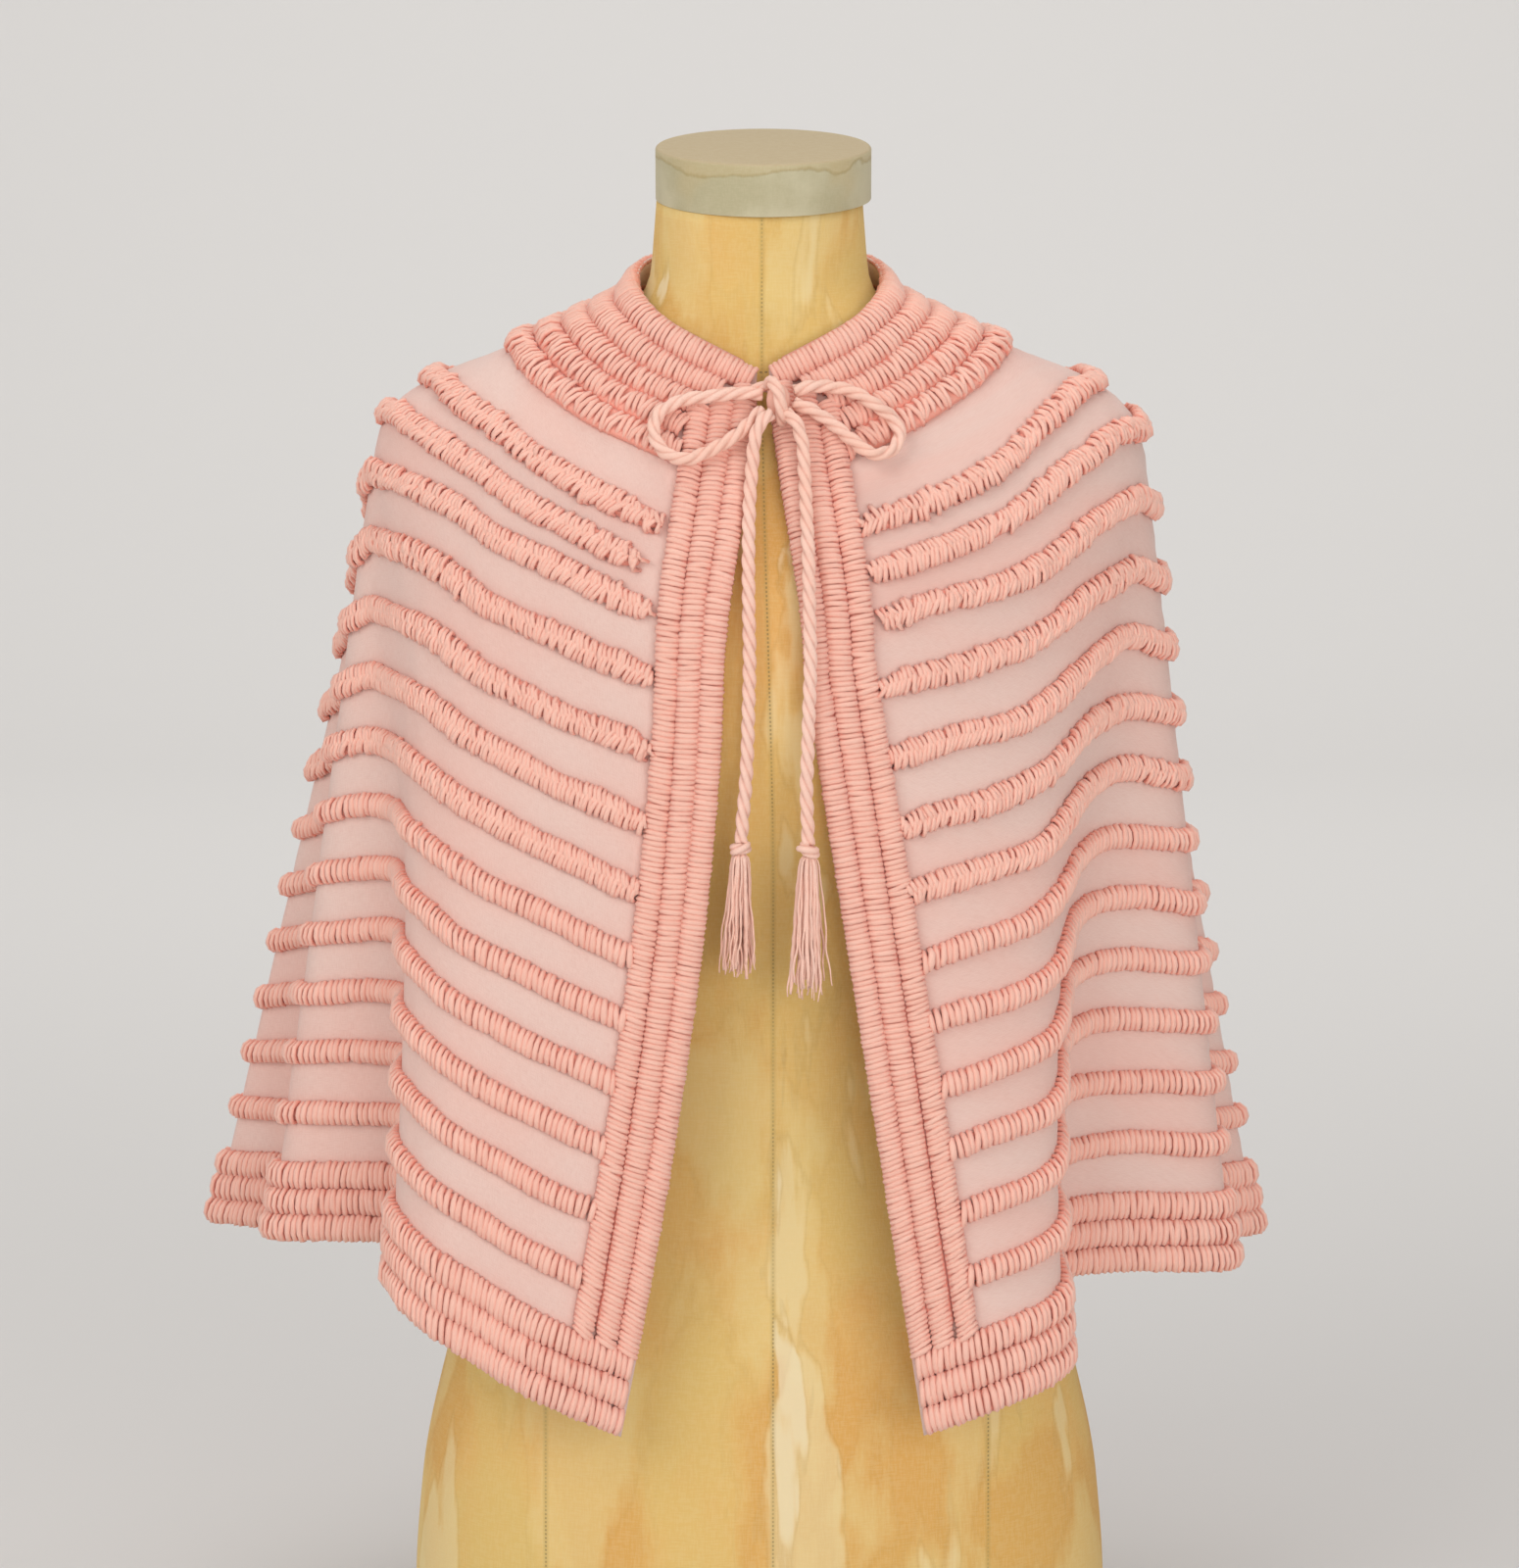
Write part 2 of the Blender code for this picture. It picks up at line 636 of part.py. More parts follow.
def cap_object():
    """The round lid on the neck, tipped forward with it and resting just clear of it."""
    tilt = math.radians(NECK_TILT)
    top, lean = FORM[-1, 0], FORM[-1, 4]
    up = Vector((0, -math.sin(tilt), math.cos(tilt)))
    middle = Vector((CAP_SIDEWAYS, lean, top)) + up * (SEAM_GAP + CAP_THICK / 2)
    build = bmesh.new()
    bmesh.ops.create_cone(
        build, cap_ends=True, segments=CAP_AROUND, radius1=CAP_RADIUS * MM, radius2=CAP_RADIUS * MM,
        depth=CAP_THICK * MM, matrix=Matrix.Translation(middle * MM) @ Matrix.Rotation(tilt, 4, "X"))
    rim = [edge for edge in build.edges if all((v.co / MM - middle).dot(up) > 0 for v in edge.verts)]
    bmesh.ops.bevel(
        build, geom=rim, offset=CAP_TOP_EDGE * MM, affect="EDGES", segments=3, profile=0.5, material=-1)
    mesh = bpy.data.meshes.new("neck_cap")
    build.to_mesh(mesh)
    build.free()
    return add_object("neck_cap", mesh, "cap")


def cord_route(rows):
    """Even points along a smooth curve through a cord's route."""
    route = np.array(rows, float)
    at = np.concatenate([[0], np.cumsum(np.linalg.norm(np.diff(route, axis=0), axis=1))])
    fine = curve_at(at, route, round_slopes(at, route), np.linspace(0, at[-1], ROUTE_SAMPLES))
    run = np.concatenate([[0], np.cumsum(np.linalg.norm(np.diff(fine, axis=0), axis=1))])
    places = np.linspace(0, run[-1], round(run[-1] / CORD_POINT_STEP) + 1)
    return np.stack([np.interp(places, run, fine[:, axis]) for axis in range(3)], axis=1)


def cord_object(name, rows):
    """A round cord swept along its route."""
    curve = bpy.data.curves.new(name, "CURVE")
    curve.dimensions = "3D"
    curve.bevel_depth = CORD_RADIUS * MM
    curve.bevel_resolution = CORD_BEVEL_RESOLUTION
    curve.use_fill_caps = True
    points = cord_route(rows)
    spline = curve.splines.new("POLY")
    spline.points.add(len(points) - 1)
    for target, point in zip(spline.points, points):
        target.co = (*(point * MM), 1)
    return add_object(name, curve, "cord")


def knot_object(name):
    """A knot of the cord as a plain rounded lump."""
    x, y, z, half_wide, half_deep, half_high = KNOT_ROWS[name]
    build = bmesh.new()
    bmesh.ops.create_uvsphere(build, u_segments=KNOT_AROUND, v_segments=KNOT_RINGS, radius=1)
    bmesh.ops.scale(build, vec=Vector((half_wide, half_deep, half_high)) * MM, verts=build.verts)
    bmesh.ops.translate(build, vec=Vector((x, y, z)) * MM, verts=build.verts)
    mesh = bpy.data.meshes.new(name)
    build.to_mesh(mesh)
    build.free()
    return add_object(name, mesh, "cord")


def tassel_object(name):
    """A tassel: a short round head whose underside is drawn out into separate strands."""
    x, y, head_top, head_radius, *_ = TASSEL_ROWS[name]
    build = bmesh.new()
    middle = Vector((x, y, head_top - HEAD_HEIGHT / 2))
    bmesh.ops.create_cone(
        build, cap_ends=True, segments=TASSEL_AROUND, radius1=head_radius * MM,
        radius2=head_radius * HEAD_CROWN * MM, depth=HEAD_HEIGHT * MM, matrix=Matrix.Translation(middle * MM))
    build.faces.ensure_lookup_table()
    underside = min(build.faces, key=lambda face: face.calc_center_median().z)
    # Two rings of cells, one strand from each
    cells = []
    for _ in range(STRAND_RINGS):
        made = bmesh.ops.inset_region(build, faces=[underside], thickness=head_radius * STRAND_RING * MM)
        cells += made["faces"]
    bmesh.ops.inset_individual(build, faces=cells, thickness=STRAND_APART * MM)
    for index, face in enumerate(cells):
        draw_strand(build, face, middle, index, name)
    mesh = bpy.data.meshes.new(name)
    build.to_mesh(mesh)
    build.free()
    return add_object(name, mesh, "cord")


def draw_strand(build, face, middle, index, name):
    """Draw one strand down from a cell of the tassel's head, fanning outwards with a slight wave."""
    strand_length, spread, sway, seed = TASSEL_ROWS[name][4:]
    start = face.calc_center_median() / MM
    offset = Vector((start.x - middle.x, start.y - middle.y, 0))
    length = strand_length - STRAND_UNEVEN * (0.5 + 0.5 * math.sin(index * STRAND_CHANGE + seed))
    corners = [(vert.co / MM - start).normalized() * STRAND_HALF * math.sqrt(2) for vert in face.verts]
    for step in range(1, STRAND_STEPS + 1):
        t = step / STRAND_STEPS
        made = bmesh.ops.extrude_discrete_faces(build, faces=[face])
        face = made["faces"][0]
        wave = math.sin(t * STRAND_WAVE_TURN + seed) * STRAND_WAVE * t
        fan = offset * (spread - 1) * t**FAN_ONSET
        centre = start + fan + Vector((sway * t + wave, wave * 0.5, -length * t))
        for vert, corner in zip(face.verts, corners):
            vert.co = (centre + corner) * MM


def main():
    clear_scene()
    form_object()
    cap_object()
    panel_object("cape_front_left", 0, LEFT_SEAM_ROW, "cloth")
    panel_object("cape_back_left", LEFT_SEAM_ROW, BACK_SEAM_ROW, "cloth")
    panel_object("cape_back_right", BACK_SEAM_ROW, RIGHT_SEAM_ROW, "cloth")
    panel_object("cape_front_right", RIGHT_SEAM_ROW, len(FOLDS) - 1, "cloth")
    cord_object("bow_loop_left", LEFT_LOOP_ROUTE)
    cord_object("bow_loop_right", RIGHT_LOOP_ROUTE)
    cord_object("tie_end_left", LEFT_END_ROUTE)
    cord_object("tie_end_right", RIGHT_END_ROUTE)
    for name in KNOT_ROWS:
        knot_object(name)
    for name in TASSEL_ROWS:
        tassel_object(name)


main()
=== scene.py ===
import math

import bmesh
import bpy
import numpy as np
from mathutils import Matrix, Vector


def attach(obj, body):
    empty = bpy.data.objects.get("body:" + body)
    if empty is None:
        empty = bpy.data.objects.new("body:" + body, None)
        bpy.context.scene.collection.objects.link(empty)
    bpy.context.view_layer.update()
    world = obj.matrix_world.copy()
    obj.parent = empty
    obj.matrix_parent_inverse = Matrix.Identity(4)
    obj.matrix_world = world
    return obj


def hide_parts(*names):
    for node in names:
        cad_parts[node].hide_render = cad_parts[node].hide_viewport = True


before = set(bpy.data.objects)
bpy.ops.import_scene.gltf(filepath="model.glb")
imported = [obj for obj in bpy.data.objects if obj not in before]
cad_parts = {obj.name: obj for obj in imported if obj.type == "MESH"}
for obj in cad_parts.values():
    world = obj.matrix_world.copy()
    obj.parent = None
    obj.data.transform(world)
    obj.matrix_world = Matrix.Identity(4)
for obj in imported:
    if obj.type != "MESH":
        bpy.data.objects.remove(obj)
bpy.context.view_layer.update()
mm = 0.001
scene = bpy.context.scene
capeParts = bpy.data.collections.new("chenilleCape")
scene.collection.children.link(capeParts)


def addPiece(name, data, material, slotName, *nodes):
    # every piece rides on the one rigid body; nodes are the solids that it stands in for
    piece = bpy.data.objects.new(name, data)
    data.materials.append(material)
    capeParts.objects.link(piece)
    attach(piece, "root")
    if nodes:
        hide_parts(*nodes)
    return piece


def meshFrom(build, name):
    mesh = bpy.data.meshes.new(name)
    build.to_mesh(mesh)
    build.free()
    mesh.shade_smooth()
    return mesh


def loft(build, rows, closed):
    # faces between rows of points, each row as long as the next
    grid = [[build.verts.new(point) for point in row] for row in rows]
    for low, high in zip(grid, grid[1:]):
        for k in range(0 if closed else 1, len(low)):
            build.faces.new((low[k - 1], low[k], high[k], high[k - 1]))
    return grid


# studio
studio = {
    "cameraPlace": (0, -2.5747, 0.8469),
    "cameraTilt": 82,
    "lens": 112.5,
    "floorColour": (0.69, 0.68, 0.67),
    "floorReach": 8,
    "wallDistance": 5.2,
    "wallHeight": 4,
    "sweepRadius": 1.6,
    "sweepSteps": 12,
    "skyColour": (1.0, 0.985, 0.965),
    "skyStrength": 0.44,
    # name: place, aimed at, width, height, power, colour
    "lamps": {
        "windowLight": ((-1.7, -2.3, 2.0), (0, 0, 0.5), 1.9, 1.9, 27.5, (1.0, 0.975, 0.94)),
        "fillLight": ((0.95, -2.6, 0.85), (0, 0, 0.4), 1.7, 1.5, 25.5, (1.0, 0.965, 0.93)),
        "sideLight": ((-2.3, -0.3, 0.9), (-0.1, 0, 0.4), 1.2, 1.2, 4, (1.0, 0.97, 0.94)),
        "topLight": ((0.2, 0.1, 2.6), (0, 0, 0.5), 1.6, 1.6, 14, (1.0, 0.975, 0.95)),
        "wallLight": ((0.0, 2.3, 3.4), (0, 5.0, 0.7), 6.0, 1.5, 90, (1.0, 0.985, 0.97)),
    },
}


def makeCamera():
    lensData = bpy.data.cameras.new("photoCamera")
    lensData.lens = studio["lens"]
    lensData.sensor_width = 36
    camera = bpy.data.objects.new("photoCamera", lensData)
    camera.location = studio["cameraPlace"]
    camera.rotation_euler = (math.radians(studio["cameraTilt"]), 0, 0)
    scene.collection.objects.link(camera)
    scene.camera = camera


def makeLamps():
    for name, (place, aim, width, height, power, colour) in studio["lamps"].items():
        lampData = bpy.data.lights.new(name, "AREA")
        lampData.shape = "RECTANGLE"
        lampData.size, lampData.size_y = width, height
        lampData.energy = power
        lampData.color = colour
        lamp = bpy.data.objects.new(name, lampData)
        lamp.location = place
        lamp.rotation_euler = (Vector(aim) - Vector(place)).to_track_quat("-Z", "Y").to_euler()
        scene.collection.objects.link(lamp)
    world = bpy.data.worlds.new("softRoom")
    world.use_nodes = True
    sky = world.node_tree.nodes["Background"].inputs
    sky["Color"].default_value = (*studio["skyColour"], 1)
    sky["Strength"].default_value = studio["skyStrength"]
    scene.world = world


def makeFloor():
    # one sheet: level floor, round sweep, upright wall
    material = bpy.data.materials.new("paleFloor")
    material.use_nodes = True
    shader = material.node_tree.nodes["Principled BSDF"]
    shader.inputs["Base Color"].default_value = (*studio["floorColour"], 1)
    shader.inputs["Roughness"].default_value = 0.9
    reach, radius, wall = studio["floorReach"], studio["sweepRadius"], studio["wallDistance"]
    line = [(-reach, 0)]
    for angle in np.linspace(0, math.pi / 2, studio["sweepSteps"] + 1):
        line.append((wall - radius + radius * math.sin(angle), radius - radius * math.cos(angle)))
    line.append((wall, studio["wallHeight"]))
    build = bmesh.new()
    loft(build, [((-reach, y, z), (reach, y, z)) for y, z in line], False)
    mesh = meshFrom(build, "paleFloor")
    mesh.materials.append(material)
    floor = bpy.data.objects.new("paleFloor", mesh)
    scene.collection.objects.link(floor)


makeCamera()
makeLamps()
makeFloor()
scene.view_settings.view_transform = "Standard"
print("studio done")


# finishes
finish = {
    "clothColour": (0.80, 0.595, 0.535),
    "clothWarm": (0.82, 0.55, 0.485),
    "clothPale": (0.92, 0.72, 0.66),
    "clothDeep": (0.66, 0.36, 0.30),
    "yarnTip": (0.95, 0.56, 0.46),
    # painted shade: the deeper colour at the roots of the loops and between them
    "yarnRootShade": (0.90, 0.32, 0.24),
    "yarnPale": (0.97, 0.63, 0.53),
    "yarnDeep": (0.84, 0.36, 0.28),
    "yarnFuzz": (0.98, 0.72, 0.62),
    # painted shade on each loop: how bright its sides are, and how much brighter its crown is
    "yarnCrownShade": (0.12, 0.95),
    "cordColour": (0.93, 0.585, 0.475),
    "cordPale": (0.95, 0.65, 0.55),
    # painted shade for the grooves between the plies, and the colour of darker fibre specks
    "cordGrooveShadeAndSpeck": (0.82, 0.38, 0.29),
    "canvasColour": (0.76, 0.535, 0.18),
    "canvasWarm": (0.80, 0.475, 0.15),
    "canvasGreen": (0.74, 0.58, 0.19),
    "canvasDark": (0.40, 0.23, 0.06),
    "canvasThread": (0.86, 0.72, 0.40),
    # kinds of stain: size, how drawn out, level, softness, colour, strength, strength of its edge
    "stains": (
        (9, 0.60, 0.49, 0.07, (0.70, 0.37, 0.09), 0.60, 0.06),
        (15, 0.42, 0.54, 0.07, (0.83, 0.66, 0.29), 0.50, 0.06),
        (24, 0.24, 0.580, 0.05, (0.87, 0.74, 0.42), 0.50, 0.12),
        (33, 0.16, 0.650, 0.04, (0.89, 0.80, 0.56), 0.60, 0.14),
    ),
    # how far each stitched seam of the form lies from its middle, and how far the first drifts
    # to the side further down, in metres
    "formSeams": (0.0012, -0.1115, 0.1195),
    "seamDrift": 0.0058,
    "seamStitch": (0.27, 0.20, 0.08),
    # painted shade in a narrow band along each seam
    "seamCreaseShade": (0.46, 0.33, 0.10),
    # the seam round the foot of the neck: its height at the middle, how it rises to the sides
    "neckSeam": (0.7065, 7.5),
    "neckStitch": (0.2, 0.15, 0.08),
    "capColour": (0.47, 0.43, 0.27),
    "capPale": (0.58, 0.54, 0.37),
    "capWarm": (0.56, 0.45, 0.24),
    "capDark": (0.34, 0.25, 0.09),
    # painted light: the top face lighter than the sides
    "capLitTop": (0.52, 0.415, 0.255),
    "capThread": (0.66, 0.60, 0.42),
    # the cap's tilt in degrees; heights along its tilted axis: its middle, and over it the stain and the top,
    # whose lighter colour is painted light
    "capTilt": 9,
    "capMiddle": 0.7997,
    "capStain": (0.0085, 0.0092),
    "capStainEdge": (0.0075, 0.0088, 0.0090, 0.0105),
    "capLitTopStart": (0.0122, 0.0130),
}


class Nodes:
    # short calls for the nodes of a material or a group
    def __init__(self, tree):
        self.tree = tree

    def add(self, kind, given, **values):
        # given: what goes into the node's sockets, by their names or numbers
        node = self.tree.nodes.new(kind)
        for name, value in values.items():
            setattr(node, name, value)
        for key, value in given.items():
            self.feed(value, node.inputs[key])
        return node

    def feed(self, value, socket):
        if isinstance(value, bpy.types.NodeSocket):
            self.tree.links.new(value, socket)
        elif socket.type == "RGBA":
            socket.default_value = (*value, 1)
        else:
            socket.default_value = value

    def objectPlace(self):
        return self.add("ShaderNodeTexCoord", {}).outputs["Object"]

    def attribute(self, name):
        return self.add("ShaderNodeAttribute", {}, attribute_name=name).outputs["Fac"]

    def vector(self, operation, first, second):
        return self.add("ShaderNodeVectorMath", {0: first, 1: second}, operation=operation).outputs

    def math(self, operation, *values):
        return self.add("ShaderNodeMath", dict(enumerate(values)), operation=operation).outputs[0]

    def plus(self, first, second):
        return self.math("ADD", first, second)

    def minus(self, first, second):
        return self.math("SUBTRACT", first, second)

    def times(self, first, second):
        return self.math("MULTIPLY", first, second)

    def mix(self, factor, first, second):
        given = {"Factor": factor, "A": first, "B": second}
        return self.add("ShaderNodeMix", given, data_type="RGBA").outputs["Result"]

    def over(self, base, mask, strength, colour):
        return self.mix(self.times(mask, strength), base, colour)

    def spread(self, value, low, high, first=0.0, last=1.0):
        given = {"Value": value, "From Min": low, "From Max": high, "To Min": first, "To Max": last}
        return self.add("ShaderNodeMapRange", given, interpolation_type="SMOOTHSTEP").outputs["Result"]

    def strip(self, value, low, high, fallLow, fallHigh):
        # rises from low to high, falls from fallLow to fallHigh
        return self.times(self.spread(value, low, high), self.spread(value, fallLow, fallHigh, 1.0, 0.0))

    def noise(self, place, scale, detail=3, distortion=0.0, stretch=None):
        if stretch is not None:
            place = self.vector("MULTIPLY", place, stretch)[0]
        given = {"Vector": place, "Scale": scale, "Detail": detail, "Distortion": distortion}
        return self.add("ShaderNodeTexNoise", given).outputs["Fac"]

    def ragged(self, reach, *given, **stretch):
        # a noise about zero
        return self.times(self.minus(self.noise(*given, **stretch), 0.5), reach)


def makeGroup(name, inputs, outputs):
    # a node group with numbers as outputs
    tree = bpy.data.node_groups.new(name, "ShaderNodeTree")
    for label, kind in inputs.items():
        tree.interface.new_socket(label, in_out="INPUT", socket_type="NodeSocket" + kind)
    for label in outputs:
        tree.interface.new_socket(label, in_out="OUTPUT", socket_type="NodeSocketFloat")
    group = Nodes(tree)
    return group, group.add("NodeGroupInput", {}).outputs, group.add("NodeGroupOutput", {}).inputs


def grainGroup():
    # fine fibre grain and soft blotches
    inputs = {"Vector": "Vector", "Fibre Scale": "Float", "Blotch Scale": "Float"}
    group, given, out = makeGroup("fibreGrain", inputs, ("Height", "Blotch", "Speck"))
    for label, scale, detail in (("Height", "Fibre Scale", 3), ("Blotch", "Blotch Scale", 4),
                                 ("Speck", "Fibre Scale", 1)):
        group.feed(group.noise(given["Vector"], given[scale], detail), out[label])
    return group.tree


def weaveGroup():
    # two sets of threads that cross
    inputs = {"Vector": "Vector", "Warp Scale": "Vector", "Weft Scale": "Vector"}
    group, given, out = makeGroup("threadWeave", inputs, ("Threads",))
    warp, weft = (group.noise(given["Vector"], 1.0, 2, stretch=given[label])
                  for label in ("Warp Scale", "Weft Scale"))
    group.feed(group.plus(warp, weft), out["Threads"])
    return group.tree


fibreGrain, threadWeave = grainGroup(), weaveGroup()


class Finish(Nodes):
    # a Principled material
    def __init__(self, name, roughness, specular, sheen=0.0, sheenRoughness=0.5):
        self.material = bpy.data.materials.new(name)
        self.material.use_nodes = True
        super().__init__(self.material.node_tree)
        self.inputs = self.tree.nodes["Principled BSDF"].inputs
        for label, value in (("Roughness", roughness), ("Specular IOR Level", specular),
                             ("Sheen Weight", sheen), ("Sheen Roughness", sheenRoughness)):
            self.inputs[label].default_value = value

    def group(self, tree, *values):
        # values in the order of the group's inputs
        return self.add("ShaderNodeGroup", dict(enumerate(values)), node_tree=tree).outputs

    def done(self, colour, height, strength, distance):
        given = {"Strength": strength, "Distance": distance, "Height": height}
        self.feed(self.add("ShaderNodeBump", given).outputs["Normal"], self.inputs["Normal"])
        self.feed(colour, self.inputs["Base Color"])
        return self.material


def clothFinish():
    made = Finish("pinkCotton", 0.88, 0.2, 0.25, 0.4)
    place = made.add("ShaderNodeUVMap", {}, uv_map="clothMap").outputs["UV"]
    # slubs run along both thread directions
    threads = made.group(threadWeave, place, (220, 2600, 1), (2600, 220, 1))["Threads"]
    tone = made.spread(threads, 0.75, 1.25)
    grain = made.group(fibreGrain, place, 900, 9)
    base = made.mix(made.spread(grain["Blotch"], 0.35, 0.68), finish["clothColour"], finish["clothWarm"])
    base = made.over(base, made.minus(tone, 0.5), 0.3, finish["clothPale"])
    base = made.over(base, made.minus(0.5, tone), 0.35, finish["clothDeep"])
    return made.done(base, made.plus(threads, made.times(grain["Height"], 0.6)), 0.35, 0.00025)


def yarnFinish():
    made = Finish("chenilleYarn", 0.92, 0.15, 0.35, 0.45)
    grain = made.group(fibreGrain, made.objectPlace(), 1500, 30)
    tone = made.attribute("yarnTone")
    # painted shade: the sides of a loop, where it meets its neighbours, are as dark as its root
    sides, rise = finish["yarnCrownShade"]
    crown = made.plus(sides, made.times(made.attribute("yarnSide"), rise))
    height = made.times(made.attribute("yarnHeight"), crown)
    # painted shade: low yarn and the sides of each loop take the darker root colour
    base = made.mix(made.spread(height, 0.0, 0.72), finish["yarnRootShade"], finish["yarnTip"])
    base = made.over(base, tone, 0.22, finish["yarnPale"])
    base = made.over(base, made.minus(1.0, tone), 0.16, finish["yarnDeep"])
    base = made.over(base, made.spread(grain["Speck"], 0.45, 0.7), 0.14, finish["yarnFuzz"])
    return made.done(base, grain["Height"], 0.55, 0.0006)


def cordFinish():
    made = Finish("twistedCord", 0.85, 0.2, 0.3, 0.4)
    grain = made.group(fibreGrain, made.objectPlace(), 1300, 25)
    # painted shade in the grooves between the plies
    groove = made.spread(made.attribute("plyReach"), 0.0, 0.7, 1.0, 0.0)
    base = made.mix(made.spread(grain["Blotch"], 0.3, 0.7), finish["cordColour"], finish["cordPale"])
    base = made.over(base, groove, 0.55, finish["cordGrooveShadeAndSpeck"])
    base = made.over(base, made.spread(grain["Speck"], 0.5, 0.75), 0.2, finish["cordGrooveShadeAndSpeck"])
    return made.done(base, grain["Height"], 0.5, 0.0005)


def stitches(made, distance, along, step):
    # a dotted line where the distance from it is near zero
    near = made.spread(made.math("ABSOLUTE", distance), 0.00030, 0.00060, 1.0, 0.0)
    wave = made.math("SINE", made.times(along, 2 * math.pi / step))
    return made.times(near, made.math("GREATER_THAN", wave, -0.1))


def canvasFinish():
    made = Finish("stainedCanvas", 0.74, 0.3)
    place = made.objectPlace()
    x, y, z = made.add("ShaderNodeSeparateXYZ", {0: place}).outputs
    grain = made.group(fibreGrain, place, 700, 7)
    threads = made.group(threadWeave, place, (160, 160, 1500), (1300, 1300, 130))["Threads"]
    # a fine raggedness and upright brush marks at the edges of the stains
    ragged = made.plus(made.ragged(0.035, place, 75, 4),
                       made.ragged(0.07, place, 230, 3, stretch=(1, 1, 0.07)))
    cloud = made.noise(place, 10, 4, 0.3, (1, 1, 0.6))
    base = made.mix(made.spread(cloud, 0.36, 0.64), finish["canvasColour"], finish["canvasWarm"])
    base = made.over(base, made.spread(made.noise(place, 6.5, 2), 0.45, 0.68), 0.45, finish["canvasGreen"])
    for scale, squash, level, soft, colour, strength, edge in finish["stains"]:
        value = made.plus(made.noise(place, scale, 3, 0.2, (1, 1, squash)), ragged)
        tide = made.strip(value, level - 0.012, level + 0.004, level + 0.005, level + 0.022)
        base = made.over(base, made.spread(value, level, level + soft), strength, colour)
        base = made.over(base, tide, edge, finish["canvasDark"])
    base = made.over(base, made.spread(threads, 0.85, 1.2), 0.16, finish["canvasThread"])
    # centre seam and the two shaping seams, and the seam round the foot of the neck
    front = made.math("LESS_THAN", y, 0.0)
    drifted = made.minus(x, made.spread(z, 0.44, 0.72, finish["seamDrift"], 0.0))
    worn = made.spread(made.noise(place, 30, 2, stretch=(1, 1, 0.5)), 0.35, 0.65, 0.25, 0.7)
    for index, side in enumerate(finish["formSeams"]):
        distance = made.minus(x if index else drifted, side)
        # painted shade in a narrow band along each seam
        crease = made.spread(made.math("ABSOLUTE", distance), 0.0004, 0.0022, 1.0, 0.0)
        dots = stitches(made, distance, z, 0.0021)
        base = made.over(base, made.times(crease, front), 0.30, finish["seamCreaseShade"])
        base = made.over(base, made.times(dots, front), worn, finish["seamStitch"])
    height, rise = finish["neckSeam"]
    dots = stitches(made, made.minus(made.minus(z, height), made.times(made.times(x, x), rise)), x, 0.0027)
    base = made.over(base, made.times(dots, front), 0.7, finish["neckStitch"])
    return made.done(base, made.plus(threads, grain["Height"]), 0.3, 0.0003)


def capFinish():
    made = Finish("khakiCap", 0.66, 0.35)
    place = made.objectPlace()
    grain = made.group(fibreGrain, place, 700, 26)
    threads = made.group(threadWeave, place, (260, 260, 1500), (1500, 1500, 260))["Threads"]
    # height over the cap's middle, made ragged where the stain at the rim ends
    tilt = math.radians(finish["capTilt"])
    tilted = made.vector("DOT_PRODUCT", place, (0, -math.sin(tilt), math.cos(tilt)))["Value"]
    level = made.minus(tilted, finish["capMiddle"])
    rim = made.plus(level, made.ragged(0.020, place, 34, 4))
    base = made.mix(made.spread(grain["Blotch"], 0.38, 0.62), finish["capColour"], finish["capPale"])
    base = made.over(base, made.spread(made.noise(place, 17, 3), 0.5, 0.62), 0.45, finish["capWarm"])
    base = made.over(base, made.spread(rim, *finish["capStain"]), 0.5, finish["capWarm"])
    base = made.over(base, made.strip(rim, *finish["capStainEdge"]), 0.45, finish["capDark"])
    # painted light: the top face gets a lighter colour than the sides
    base = made.mix(made.spread(level, *finish["capLitTopStart"]), base, finish["capLitTop"])
    base = made.over(base, made.spread(threads, 0.85, 1.2), 0.14, finish["capThread"])
    return made.done(base, made.plus(threads, grain["Height"]), 0.2, 0.0003)


cloth, yarn, cord = clothFinish(), yarnFinish(), cordFinish()
canvas, cap = canvasFinish(), capFinish()
print("finishes done")


# the form and the cape's surface, from the same named sizes as the solids
formSizes = {
    # height, half width, front depth, back depth, how far the middle lies behind the axis
    "sections": (
        (0, 183, 117, 122, 0), (50, 186, 120, 125, 0), (110, 182, 118, 122, 0), (183, 167, 112, 113, 0),
        (260, 143, 99, 96, 0), (345, 121, 91, 84, 0), (420, 136, 102, 92, 0), (480, 156, 115, 101, 0),
        (530, 171, 123, 109, 0), (580, 184, 119, 114, 0), (620, 194, 108, 114, 0), (650, 197, 94, 108, 0),
        (670, 194, 82, 101, 0), (684, 185, 73, 95, 0), (696, 167, 65, 89, 0), (708, 137, 60, 81, -1),
        (729, 86, 56, 69, -2), (742, 63, 55, 60, -4), (755, 57, 54, 56, -5), (775, 55, 53.5, 54, -8),
        (794, 53.5, 53, 53, -11),
    ),
    "squareness": 2.15,
    "around": 112,
    "levels": 120,
    "neckTilt": 9,
    "tiltStart": 762,
}
